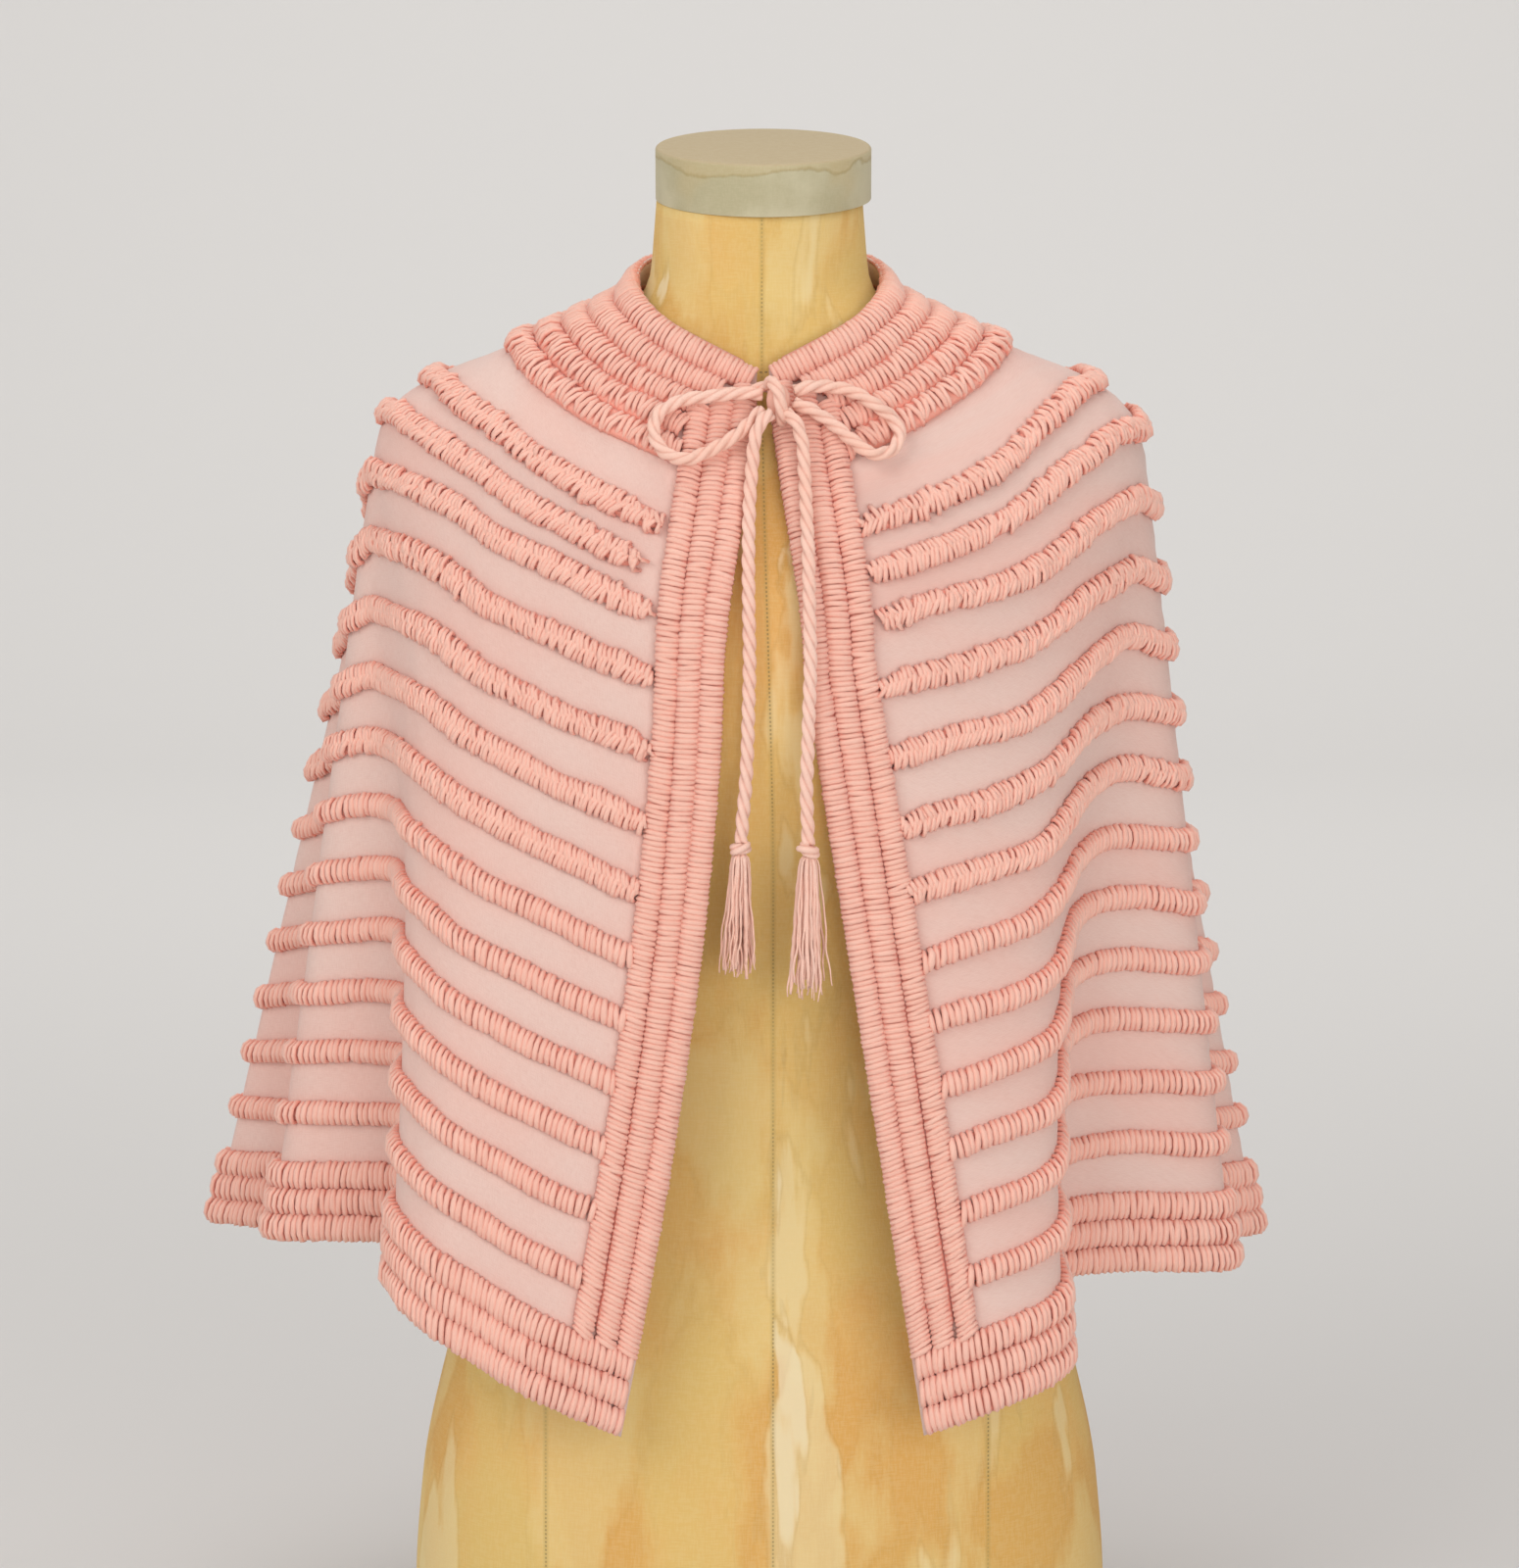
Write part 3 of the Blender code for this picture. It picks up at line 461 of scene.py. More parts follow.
capeSizes = {
    "restGap": 3.8,
    "collarGap": 4.5,
    "collarFall": 34,
    "cutLength": 607,
    "neckFront": 706,
    "neckBack": 766,
    "neckSideRise": 0.09,
    "foldOnset": 1.15,
    "flareSmoothing": 0.035,
    # heights at which the cloth can leave the form, and points down to there and below
    "leaving": (520.0, 736.0),
    "pathPoints": (90, 60),
    # distance from the neck, share of the spare length above it
    "ease": ((0, 0), (70, 0), (126, 0.44), (158, 0.62), (200, 0.98), (241, 1.08), (400, 1.08), (607, 1)),
    # turn at the neck, turn at the shoulder, lower end of the fold (x, y, height), how late it swings out
    "folds": (
        (1.2, 8.5, -71, -147, 170, 1.5), (17, 25, -109, -152, 188, 1.35),
        (32, 43, -142, -141, 205, 1.15), (44, 55, -164, -138, 219, 1.0),
        (56, 68, -187, -110, 238, 0.88), (70, 81, -176, -58, 246, 0.88),
        (80, 88, -259, -14, 242, 0.88), (90, 94, -246, 30, 236, 0.88),
        (100, 100, -299, 72, 231, 0.88), (115, 112, -208, 103, 222, 0.88),
        (129, 126, -201, 168, 210, 0.88), (142, 140, -121, 164, 203, 0.88),
        (156, 154, -91, 218, 197, 0.88), (169, 168, -29, 180, 194, 0.88),
        (182, 182, 15, 224, 192, 0.88), (195, 195, 53, 176, 194, 0.88),
        (208, 209, 115, 206, 198, 0.88), (221, 222, 131, 150, 204, 0.88),
        (234, 236, 203, 148, 212, 0.88), (246, 248, 196, 92, 219, 0.88),
        (257, 258, 273, 76, 224, 0.88), (268, 265, 230, 28, 228, 0.88),
        (278, 272, 250, -24, 229, 0.88), (291, 288, 142, -80, 226, 0.88),
        (305, 305, 153, -130, 199, 0.97), (334, 329, 121, -152, 186, 1.0),
        (355.5, 349.5, 84, -148, 171, 1.0),
    ),
    "seamFolds": (7, 21),
    "tablePlaces": 1201,
    "tableSteps": 406,
}


def slopesBetween(x, y):
    # slopes of a smooth curve that doesn't overshoot its points
    step = np.diff(x)[:, None]
    rise = np.diff(y, axis=0) / step
    inner = np.zeros_like(rise[1:])
    same = rise[1:] * rise[:-1] > 0
    first, second = 2 * step[1:] + step[:-1], step[1:] + 2 * step[:-1]
    mean = (first + second) / (first / np.where(same, rise[:-1], 1) + second / np.where(same, rise[1:], 1))
    inner[same] = mean[same]
    return np.vstack([rise[:1], inner, rise[-1:]])


def roundSlopes(x, y):
    step = np.diff(x)[:, None]
    rise = np.diff(y, axis=0) / step
    inner = (rise[:-1] * step[1:] + rise[1:] * step[:-1]) / (step[1:] + step[:-1])
    return np.vstack([rise[:1], inner, rise[-1:]])


def curveAt(x, y, slope, at):
    at = np.asarray(at, float)
    i = np.clip(np.searchsorted(x, at) - 1, 0, len(x) - 2)
    h = x[i + 1] - x[i]
    t, h = ((at - x[i]) / h)[..., None], h[..., None]
    return (y[i] * (1 + 2 * t) * (1 - t) ** 2 + slope[i] * h * t * (1 - t) ** 2
            + y[i + 1] * t**2 * (3 - 2 * t) + slope[i + 1] * h * t**2 * (t - 1))


def unit(v):
    return v / np.maximum(np.linalg.norm(v, axis=-1, keepdims=True), 1e-9)


def runAlong(points, axis=0):
    # distance from the first point of a line to each of its points
    steps = np.linalg.norm(np.diff(points, axis=axis), axis=-1)
    return np.insert(np.cumsum(steps, axis=axis), 0, 0, axis=axis)


formRows = np.array(formSizes["sections"], float)
formSlopes = slopesBetween(formRows[:, 0], formRows[:, 1:])


def formPoint(turn, height):
    wide, front, back, lean = np.moveaxis(curveAt(formRows[:, 0], formRows[:, 1:], formSlopes, height), -1, 0)
    across, along = np.sin(turn), np.cos(turn)
    deep = np.where(along > 0, front, back)
    n = formSizes["squareness"]
    reach = (np.abs(across / wide) ** n + np.abs(along / deep) ** n) ** (-1 / n)
    return np.stack([-reach * across, lean - reach * along, np.broadcast_to(height, reach.shape)], -1)


def formNormal(turn, height):
    across = formPoint(turn + 0.01, height) - formPoint(turn - 0.01, height)
    up = formPoint(turn, height + 0.5) - formPoint(turn, height - 0.5)
    return unit(np.cross(up, across))


folds = np.array(capeSizes["folds"], float)
foldPlaces = runAlong(folds[:, 2:4])
foldPlaces = foldPlaces / foldPlaces[-1]
foldSlopes = roundSlopes(foldPlaces, folds)
easeRows = np.array(capeSizes["ease"], float)
easeSlopes = slopesBetween(easeRows[:, 0], easeRows[:, 1:])
cutLength = capeSizes["cutLength"]


def foldValues(place):
    return curveAt(foldPlaces, folds, foldSlopes, np.clip(place, 0, 1))


def unfoldedHem(place):
    # the hem in plan with its folds smoothed out
    offsets = np.linspace(-2.2, 2.2, 23)
    weights = np.exp(-(offsets**2) / 2)
    ends = foldValues(np.array([0.0, 1.0]))[:, 2:4]
    total = 0
    for offset, weight in zip(offsets, weights):
        at = place + offset * capeSizes["flareSmoothing"]
        value = foldValues(np.abs(1 - np.abs(1 - at)))[..., 2:4]
        value = np.where((at < 0)[..., None], 2 * ends[0] - value, value)
        value = np.where((at > 1)[..., None], 2 * ends[1] - value, value)
        total = total + weight * value
    return total / weights.sum()


def clothPaths(place):
    # inner face of the cloth from neck to hem at each place round the cape
    values = foldValues(place)
    neckTurn, shoulderTurn = np.radians(values[:, 0]), np.radians(values[:, 1])
    hem, swing = values[:, 2:5], values[:, 5, None]
    rise = np.abs(np.sin(neckTurn / 2)) + capeSizes["neckSideRise"] * np.sin(neckTurn) ** 2
    neckHeight = capeSizes["neckFront"] + (capeSizes["neckBack"] - capeSizes["neckFront"]) * rise
    heights = np.arange(*capeSizes["leaving"])
    turnGrid = shoulderTurn[:, None] + 0 * heights
    shape = formPoint(turnGrid, heights) + capeSizes["restGap"] * formNormal(turnGrid, heights)
    outward = np.stack([-np.sin(shoulderTurn), -np.cos(shoulderTurn)], -1)
    reach = (shape[..., :2] * outward[:, None, :]).sum(-1)
    hemReach = (hem[:, :2] * outward).sum(-1)
    lean = (reach - hemReach[:, None]) / (heights - hem[:, 2:3])
    leave = heights[np.argmax(lean, axis=-1)]
    overPoints, hangPoints = capeSizes["pathPoints"]
    t = np.linspace(0, 1, overPoints)
    height = neckHeight[:, None] + (leave - neckHeight)[:, None] * t
    turn = neckTurn[:, None] + (shoulderTurn - neckTurn)[:, None] * t * t * (3 - 2 * t)
    over = formPoint(turn, height)
    rest, collar = capeSizes["restGap"], capeSizes["collarGap"]
    gap = rest + (collar - rest) * np.exp(-((runAlong(over, 1) / capeSizes["collarFall"]) ** 2))
    over = over + gap[..., None] * formNormal(turn, height)
    w = np.linspace(0, 1, hangPoints + 1)[1:]
    start, even = over[:, -1, :], unfoldedHem(place)
    hang = np.empty((len(over), hangPoints, 3))
    for axis in (0, 1):
        begin = start[:, axis, None]
        hang[..., axis] = (begin + (even[:, axis, None] - begin) * w**swing
                           + (hem[:, axis] - even[:, axis])[:, None] * w ** capeSizes["foldOnset"])
    hang[..., 2] = start[:, 2, None] + (hem[:, 2] - start[:, 2])[:, None] * w
    return np.concatenate([over, hang], axis=1)


def clothTable():
    # the whole surface as a table of points, read from by everything that lies on the cape
    places = np.linspace(0, 1, capeSizes["tablePlaces"])
    downs = np.linspace(0, cutLength, capeSizes["tableSteps"])
    paths = clothPaths(places)
    ease = curveAt(easeRows[:, 0], easeRows[:, 1:], easeSlopes, downs)[:, 0]
    points = np.empty((len(places), len(downs), 3))
    for i, path in enumerate(paths):
        run = runAlong(path)
        want = np.clip(downs + (run[-1] - cutLength) * ease, 0, run[-1])
        for axis in range(3):
            points[i, :, axis] = np.interp(want, run, path[:, axis])
    return points


surface = clothTable()
runs = runAlong(surface)
tableWidths = runs[-1]


def clothNormals():
    # read over a few millimetres, so that they turn smoothly
    last = len(surface) - 1
    index = np.arange(len(surface))
    across = surface[np.minimum(index + 4, last)] - surface[np.maximum(index - 4, 0)]
    index = np.arange(surface.shape[1])
    along = surface[:, np.minimum(index + 3, len(index) - 1)] - surface[:, np.maximum(index - 3, 0)]
    return unit(np.cross(across, along))


surfaceNormals = clothNormals()


def readTable(table, place, down):
    u = np.clip(place, 0, 1) * (len(table) - 1)
    v = np.clip(np.asarray(down, float) / cutLength, 0, 1) * (table.shape[1] - 1)
    i = np.clip(u.astype(int), 0, len(table) - 2)
    j = np.clip(v.astype(int), 0, table.shape[1] - 2)
    u, v = (u - i)[..., None], (v - j)[..., None]
    return ((table[i, j] * (1 - v) + table[i, j + 1] * v) * (1 - u)
            + (table[i + 1, j] * (1 - v) + table[i + 1, j + 1] * v) * u)


def clothPoint(place, down):
    return readTable(surface, np.asarray(place, float), down)


def runAt(place, down):
    # distance along a row from the cape's left front edge
    return readTable(runs[..., None], place, down)[..., 0]


def clothNormal(place, down):
    return unit(readTable(surfaceNormals, np.asarray(place, float), down))


def rowWidth(down):
    return np.interp(down, np.linspace(0, cutLength, len(tableWidths)), tableWidths)


def placeTable():
    # place round the cape at each share of a row's real length
    shares = np.linspace(0, 1, capeSizes["tablePlaces"])
    places = np.linspace(0, 1, len(surface))
    return np.stack([np.interp(shares * run[-1], run, places) for run in runs.T], axis=1)


placesByShare = placeTable()[..., None]


def placeAt(s, down):
    # s is the distance along the row from the middle of the cape's back, in mm
    share = s / rowWidth(down) + 0.5
    return readTable(placesByShare, share, down)[..., 0]


print("cape surface done, hem", round(float(tableWidths[-1])), "mm round")


# neck tie: two bow loops and two hanging ends of one twisted cord
tie = {
    "diameter": 0.007,
    "ply": 0.0019,
    "plyOffset": 0.0017,
    "twistLength": -0.028,
    "ringStep": 0.0013,
    # distances from a cord's middle that count as the bottom of a groove and the top of a ply
    "plyReach": (0.0021, 0.0033),
    # routes from the bow's knot outwards, in metres, as in the solids
    "routes": {
        "bowLoopLeft": (
            (0.0015, -0.0878, 0.697), (-0.008, -0.0888, 0.6975), (-0.024, -0.09, 0.696),
            (-0.040, -0.0884, 0.6935), (-0.051, -0.09, 0.687), (-0.0535, -0.0958, 0.678),
            (-0.048, -0.1008, 0.6685), (-0.037, -0.1078, 0.6655), (-0.024, -0.1046, 0.670),
            (-0.012, -0.1018, 0.677), (-0.004, -0.0958, 0.684), (0.0015, -0.0928, 0.6895),
        ),
        "bowLoopRight": (
            (0.0175, -0.0878, 0.6985), (0.025, -0.0873, 0.7005), (0.036, -0.0848, 0.7005),
            (0.047, -0.0856, 0.698), (0.058, -0.0902, 0.692), (0.067, -0.0878, 0.685),
            (0.071, -0.0918, 0.676), (0.067, -0.0973, 0.6695), (0.057, -0.1038, 0.668),
            (0.046, -0.0988, 0.675), (0.036, -0.0938, 0.683), (0.026, -0.0938, 0.6895),
            (0.0175, -0.0918, 0.6925),
        ),
        "tieEndLeft": (
            (0.0055, -0.0994, 0.688), (0.001, -0.1028, 0.684), (-0.002, -0.1053, 0.677),
            (-0.0035, -0.1078, 0.664), (-0.005, -0.1131, 0.645), (-0.0055, -0.1193, 0.620),
            (-0.0054, -0.1258, 0.592), (-0.005, -0.1298, 0.565), (-0.0056, -0.1318, 0.538),
            (-0.006, -0.132, 0.523), (-0.0072, -0.132, 0.500), (-0.0086, -0.132, 0.484),
            (-0.0092, -0.132, 0.4738),
        ),
        "tieEndRight": (
            (0.0132, -0.0976, 0.6882), (0.018, -0.1013, 0.684), (0.021, -0.1038, 0.676),
            (0.0225, -0.1098, 0.660), (0.0235, -0.1193, 0.640), (0.0246, -0.129, 0.615),
            (0.025, -0.1338, 0.592), (0.0255, -0.1368, 0.565), (0.0248, -0.1382, 0.540),
            (0.0243, -0.1386, 0.523), (0.0236, -0.1386, 0.500), (0.0242, -0.1386, 0.484),
            (0.0246, -0.1386, 0.4738),
        ),
    },
    # knots: (middle, half sizes) in metres, and how much the turn of each lower knot leans
    "bowKnot": ((0.0095, -0.0913, 0.694), (0.007, 0.0065, 0.010)),
    # the wrap over the bow, from the knot's middle, and the cord's short run from the left neck corner
    "bowWrap": (
        (-0.0045, 0.0035, 0.0085), (-0.003, -0.004, 0.0095), (0.0005, -0.0085, 0.003),
        (0.0015, -0.0080, -0.0045), (0.002, -0.002, -0.0098), (0.002, 0.0035, -0.0098),
    ),
    "bowStub": (
        (-0.0035, -0.0805, 0.6985), (0.0005, -0.0838, 0.6998), (0.005, -0.0865, 0.7005),
        (0.0095, -0.0875, 0.699),
    ),
    # winding of a lower knot: share of its radius, turns, first angle, thickness, twist length, core's size
    "winding": (0.5, 1.15, 0.9, 0.88, -0.030, 0.62),
    "leftKnot": ((-0.0096, -0.132, 0.4709), (0.0060, 0.0056, 0.0043), 0.30),
    "rightKnot": ((0.0246, -0.1386, 0.4709), (0.0064, 0.0058, 0.0043), -0.30),
}


def smoothRoute(rows, step):
    route = np.array(rows, float)
    at = runAlong(route)
    fine = curveAt(at, route, roundSlopes(at, route), np.linspace(0, at[-1], 600))
    run = runAlong(fine)
    places = np.linspace(0, run[-1], max(4, round(run[-1] / step) + 1))
    return np.stack([np.interp(places, run, fine[:, axis]) for axis in range(3)], axis=1)


def polyCurve(name, dimensions, points):
    data = bpy.data.curves.new(name, "CURVE")
    data.dimensions = dimensions
    spline = data.splines.new("POLY")
    spline.points.add(len(points) - 1)
    for target, point in zip(spline.points, points):
        target.co = (*point, 1)
    return data, spline


def plyProfile(ply, offset):
    # three round plies side by side, as one closed outline
    outline = []
    for lobe in np.radians((0, 120, 240)):
        for angle in np.radians(range(-60, 60, 20)):
            reach = offset * math.cos(angle) + math.sqrt(ply**2 - (offset * math.sin(angle)) ** 2)
            outline.append((reach * math.cos(angle + lobe), reach * math.sin(angle + lobe), 0))
    data, spline = polyCurve("plyProfile", "2D", outline)
    spline.use_cyclic_u = True
    return bpy.data.objects.new("plyProfile", data)


def twistedCord(name, points, thickness=1.0, twistLength=None, startTurn=0.0):
    # a curve with the three-ply outline, turned as it runs, then made a mesh
    profile = plyProfile(tie["ply"] * thickness, tie["plyOffset"] * thickness)
    scene.collection.objects.link(profile)
    data, spline = polyCurve(name, "3D", points)
    data.twist_mode, data.bevel_mode, data.bevel_object = "MINIMUM", "OBJECT", profile
    data.use_fill_caps = True
    for target, run in zip(spline.points, runAlong(points)):
        target.tilt = startTurn + run / (twistLength or tie["twistLength"]) * 2 * math.pi
    holder = bpy.data.objects.new(name, data)
    scene.collection.objects.link(holder)
    bpy.context.view_layer.update()
    mesh = bpy.data.meshes.new_from_object(holder.evaluated_get(bpy.context.evaluated_depsgraph_get()))
    for extra in (holder, profile):
        bpy.data.objects.remove(extra)
    build = bmesh.new()
    build.from_mesh(mesh)
    bpy.data.meshes.remove(mesh)
    bmesh.ops.remove_doubles(build, verts=build.verts, dist=1e-6)
    bmesh.ops.recalc_face_normals(build, faces=build.faces)
    mesh = meshFrom(build, name)
    # how far each point lies from the cord's middle, from 0 in a groove to 1 on a ply
    verts = np.array([v.co for v in mesh.vertices])
    reach = np.concatenate([np.linalg.norm(part[:, None] - points[None], axis=2).min(axis=1)
                            for part in np.array_split(verts, max(1, len(verts) // 2000))])
    inner, outer = np.array(tie["plyReach"]) * thickness
    layer = mesh.attributes.new("plyReach", "FLOAT", "POINT")
    layer.data.foreach_set("value", np.clip((reach - inner) / (outer - inner), 0, 1))
    return mesh


def curledPath(centre, radius, lean, turns, startAngle, steps=34):
    # a knot's own turn, wound round an upright core and leaning to one side
    t = np.linspace(0, 1, steps)
    angle = startAngle + t * turns * 2 * math.pi
    return np.stack([centre[0] + radius * np.cos(angle), centre[1] + radius * np.sin(angle),
                     centre[2] + radius * lean * np.cos(angle) + 0.0012 * (0.5 - t)], axis=1)


def joined(name, meshes):
    build = bmesh.new()
    for mesh in meshes:
        build.from_mesh(mesh)
        bpy.data.meshes.remove(mesh)
    return meshFrom(build, name)


def knotCore(middle, halves, scale):
    build = bmesh.new()
    bmesh.ops.create_icosphere(build, subdivisions=3, radius=1)
    bmesh.ops.scale(build, vec=Vector(halves) * scale, verts=build.verts)
    bmesh.ops.translate(build, vec=Vector(middle), verts=build.verts)
    return meshFrom(build, "knotCore")


def makeTieKnot(name, key, node):
    # the cord turned once round itself
    middle, halves, lean = tie[key]
    reach, turns, start, thickness, twistLength, core = tie["winding"]
    path = curledPath(middle, halves[0] * reach, lean, turns, start)
    meshes = [twistedCord("knotTurn", path, thickness, twistLength), knotCore(middle, halves, core)]
    return addPiece(name, joined(name, meshes), cord, "cord", node)


def makeBowKnot():
    middle, halves = tie["bowKnot"]
    wrap = smoothRoute(np.array(tie["bowWrap"]) + middle, tie["ringStep"])
    meshes = [
        twistedCord("bowWrap", wrap, 0.95, None, 0.6),
        twistedCord("bowStub", smoothRoute(tie["bowStub"], tie["ringStep"]), 0.92),
        knotCore(middle, halves, 0.86),
    ]
    return addPiece("bowKnot", joined("bowKnot", meshes), cord, "cord", "bow_knot")


tassels = {
    "steps": 26,
    "sides": 5,
    # kinds of strand in a tassel: how many, radius, wave, how much they stray sideways
    "kinds": ((30, 0.00058, 0.0013, 0.0016), (9, 0.00120, 0.0005, 0.0008)),
    # kinks of a strand: share of its wave, slowest, fastest
    "kinks": ((0.6, 7, 13), (0.3, 18, 30)),
    # middle of the top, head radius, length, spread, sway to the side, seed
    "tasselLeft": ((-0.0098, -0.132, 0.4682), 0.0060, 0.064, 1.95, -0.0012, 4),
    "tasselRight": ((0.0248, -0.1386, 0.4680), 0.0063, 0.074, 2.0, 0.0002, 9),
}


fluffRng = np.random.default_rng(5)


def tubeMesh(name, paths, radii, sides, attributes=None, fluff=0.0, sideAxis=(0.0, 1.0, 0.02), flat=1.0):
    # many small tubes joined in one mesh: paths is tubes x points x 3, radii is tubes x points;
    # a ring starts at the tube's outer side, a quarter turn from sideAxis, and flat squashes it there
    tubes, points = paths.shape[:2]
    along = unit(np.gradient(paths, axis=1))
    sideAxis = np.broadcast_to(sideAxis, paths.shape)
    side = unit(sideAxis - (sideAxis * along).sum(-1, keepdims=True) * along)
    up = np.cross(side, along)
    angles = np.arange(sides) * 2 * math.pi / sides
    ring = (up[:, :, None, :] * (np.cos(angles) * flat)[:, None]
            + side[:, :, None, :] * np.sin(angles)[:, None])
    uneven = 1 + fluff * fluffRng.normal(0, 1, (tubes, points, sides, 1))
    verts = (paths[:, :, None, :] + ring * radii[:, :, None, None] * uneven).reshape(-1, 3)
    corner = np.arange(tubes * points * sides).reshape(tubes, points, sides)
    beside = np.roll(corner, -1, axis=2)
    quads = np.stack([corner[:, :-1], beside[:, :-1], beside[:, 1:], corner[:, 1:]], axis=-1)
    corners = np.concatenate([quads.ravel(), corner[:, 0, ::-1].ravel(), corner[:, -1].ravel()])
    totals = np.repeat([4, sides], [quads.size // 4, 2 * tubes])
    mesh = bpy.data.meshes.new(name)
    mesh.vertices.add(len(verts))
    mesh.vertices.foreach_set("co", verts.ravel())
    mesh.loops.add(len(corners))
    mesh.loops.foreach_set("vertex_index", corners)
    mesh.polygons.add(len(totals))
    mesh.polygons.foreach_set("loop_start", np.concatenate([[0], np.cumsum(totals)[:-1]]))
    mesh.polygons.foreach_set("loop_total", totals)
    values = {label: np.repeat(value.reshape(-1), sides) for label, value in (attributes or {}).items()}
    # how far each ring point faces outward; the yarn's finish paints shade on the sides of its loops from it
    values["yarnSide"] = np.tile(np.maximum(np.cos(angles), 0), tubes * points)
    for label, value in values.items():
        layer = mesh.attributes.new(label, "FLOAT", "POINT")
        layer.data.foreach_set("value", value)
    mesh.update(calc_edges=True)
    mesh.validate()
    mesh.shade_smooth()
    return mesh


def makeTassel(name, node):
    # fine loose threads and a few thick plies, all from under the knot
    (x, y, top), radius, length, spread, sway, seed = tassels[name]
    rng = np.random.default_rng(seed)
    t = np.linspace(0, 1, tassels["steps"])[None, :]
    shoulder = np.clip(t / 0.06, 0, 1) ** 0.5
    strands = []
    for count, strandRadius, wave, stray in tassels["kinds"]:
        index = np.arange(count)
        turn = index * 2.39996 + strandRadius * 900
        reach = (radius * 0.88 - strandRadius) * np.sqrt((index + 0.5) / count)
        fan = (0.45 + 0.55 * shoulder) * (1 + (spread * rng.uniform(0.8, 1.15, (count, 1)) - 1) * t**0.9)
        lean = rng.normal(0, stray, (2, count, 1)) * t**1.3
        kink = wave * t * sum(part * np.sin(t * rng.uniform(slow, fast, (2, count, 1))
                                            + rng.uniform(0, 6.28, (2, count, 1)))
                              for part, slow, fast in tassels["kinks"])
        longs = length * rng.uniform(0.86, 1.0, (count, 1))
        paths = np.stack([
            x + reach[:, None] * np.cos(turn)[:, None] * fan + sway * t + lean[0] + kink[0],
            y + reach[:, None] * np.sin(turn)[:, None] * fan * 0.8 + lean[1] + kink[1] * 0.7,
            top - longs * t,
        ], axis=-1)
        ply = 1 + 0.12 * np.sin(t * 55 + rng.uniform(0, 6.28, (count, 1)))
        thick = strandRadius * rng.uniform(0.8, 1.2, (count, 1)) * (1 - 0.45 * t**6) * ply
        shade = {"plyReach": 0.75 + 0.25 * np.sin(paths[..., 0] * 4e3)}
        strands.append(tubeMesh(name, paths, thick, tassels["sides"], shade, 0.08))
    return addPiece(name, joined(name, strands), cord, "cord", node)


def makeTie():
    bowKnot = makeBowKnot()
    knotLeft = makeTieKnot("tieKnotLeft", "leftKnot", "tie_knot_left")
    knotRight = makeTieKnot("tieKnotRight", "rightKnot", "tie_knot_right")
    tasselLeft = makeTassel("tasselLeft", "tassel_left")
    tasselRight = makeTassel("tasselRight", "tassel_right")
    cords = (
        ("bowLoopLeft", "bow_loop_left", "object", "loose", [bowKnot]),
        ("bowLoopRight", "bow_loop_right", "object", "loose", []),
        ("tieEndLeft", "tie_end_left", "knot", "hanging", [knotLeft, tasselLeft]),
        ("tieEndRight", "tie_end_right", "knot", "hanging", [knotRight, tasselRight]),
    )
    for name, node, farEnd, lay, onIt in cords:
        points = smoothRoute(tie["routes"][name], tie["ringStep"])
        piece = addPiece(name, twistedCord(name, points), cord, "cord", node)
    print("neck tie done")


makeTie()


# the cape's cloth
capeCloth = {
    "columns": 270,
    "rows": 112,
    "outerFace": 2.3,
    "thickness": 1.1,
    "pucker": 0.55,
    # soft troughs (minus) and ridges (plus): place, from, to, half width, depth, all but the place in mm
    "creases": (
        (0.035, 250, 560, 22, -1.6), (0.062, 300, 590, 16, 1.3), (0.105, 200, 520, 20, -1.5),
        (0.150, 320, 600, 18, 1.4), (0.190, 260, 500, 24, -1.4), (0.235, 240, 560, 20, -1.3),
        (0.290, 280, 600, 22, 1.5), (0.345, 220, 520, 18, -1.5), (0.395, 300, 590, 20, 1.2),
        (0.450, 240, 540, 24, -1.4), (0.505, 260, 600, 18, 1.4), (0.560, 230, 500, 20, -1.3),
        (0.615, 310, 600, 22, 1.3), (0.665, 250, 560, 18, -1.5), (0.720, 220, 520, 22, 1.3),
        (0.775, 290, 590, 20, -1.4), (0.825, 240, 540, 18, 1.2), (0.880, 260, 600, 22, -1.5),
        (0.925, 210, 480, 20, 1.2), (0.962, 280, 580, 18, -1.4),
    ),
}
puckerRng = np.random.default_rng(31)
puckerWaves = [(puckerRng.uniform(0.12, 0.34), puckerRng.uniform(0.0, 6.28), puckerRng.uniform(0.010, 0.045),
                puckerRng.uniform(0.5, 1.0)) for _ in range(9)]


def clothLift(place, down):
    # small unevenness of the cloth: soft creases, listed one by one, and puckers between the sewn rows
    width = rowWidth(down)
    lift = np.zeros(np.broadcast(place, down).shape)
    for at, start, end, half, depth in capeCloth["creases"]:
        across = (place - at) * width / half
        along = np.clip((down - start) / 60, 0, 1) * np.clip((end - down) / 60, 0, 1)
        lift = lift + depth * np.exp(-(across**2)) * along
    s = runAt(place, down)
    for rate, phase, slant, share in puckerWaves:
        lift = lift + capeCloth["pucker"] * 0.3 * share * np.sin(s * rate + phase + down * slant * 3)
    return lift * np.clip(down / 90, 0, 1)


def clothFace(place, down):
    # a point on the cloth's outer face, in metres
    over = capeCloth["outerFace"] + clothLift(place, down) * 0.5
    return (clothPoint(place, down) + over[..., None] * clothNormal(place, down)) * mm


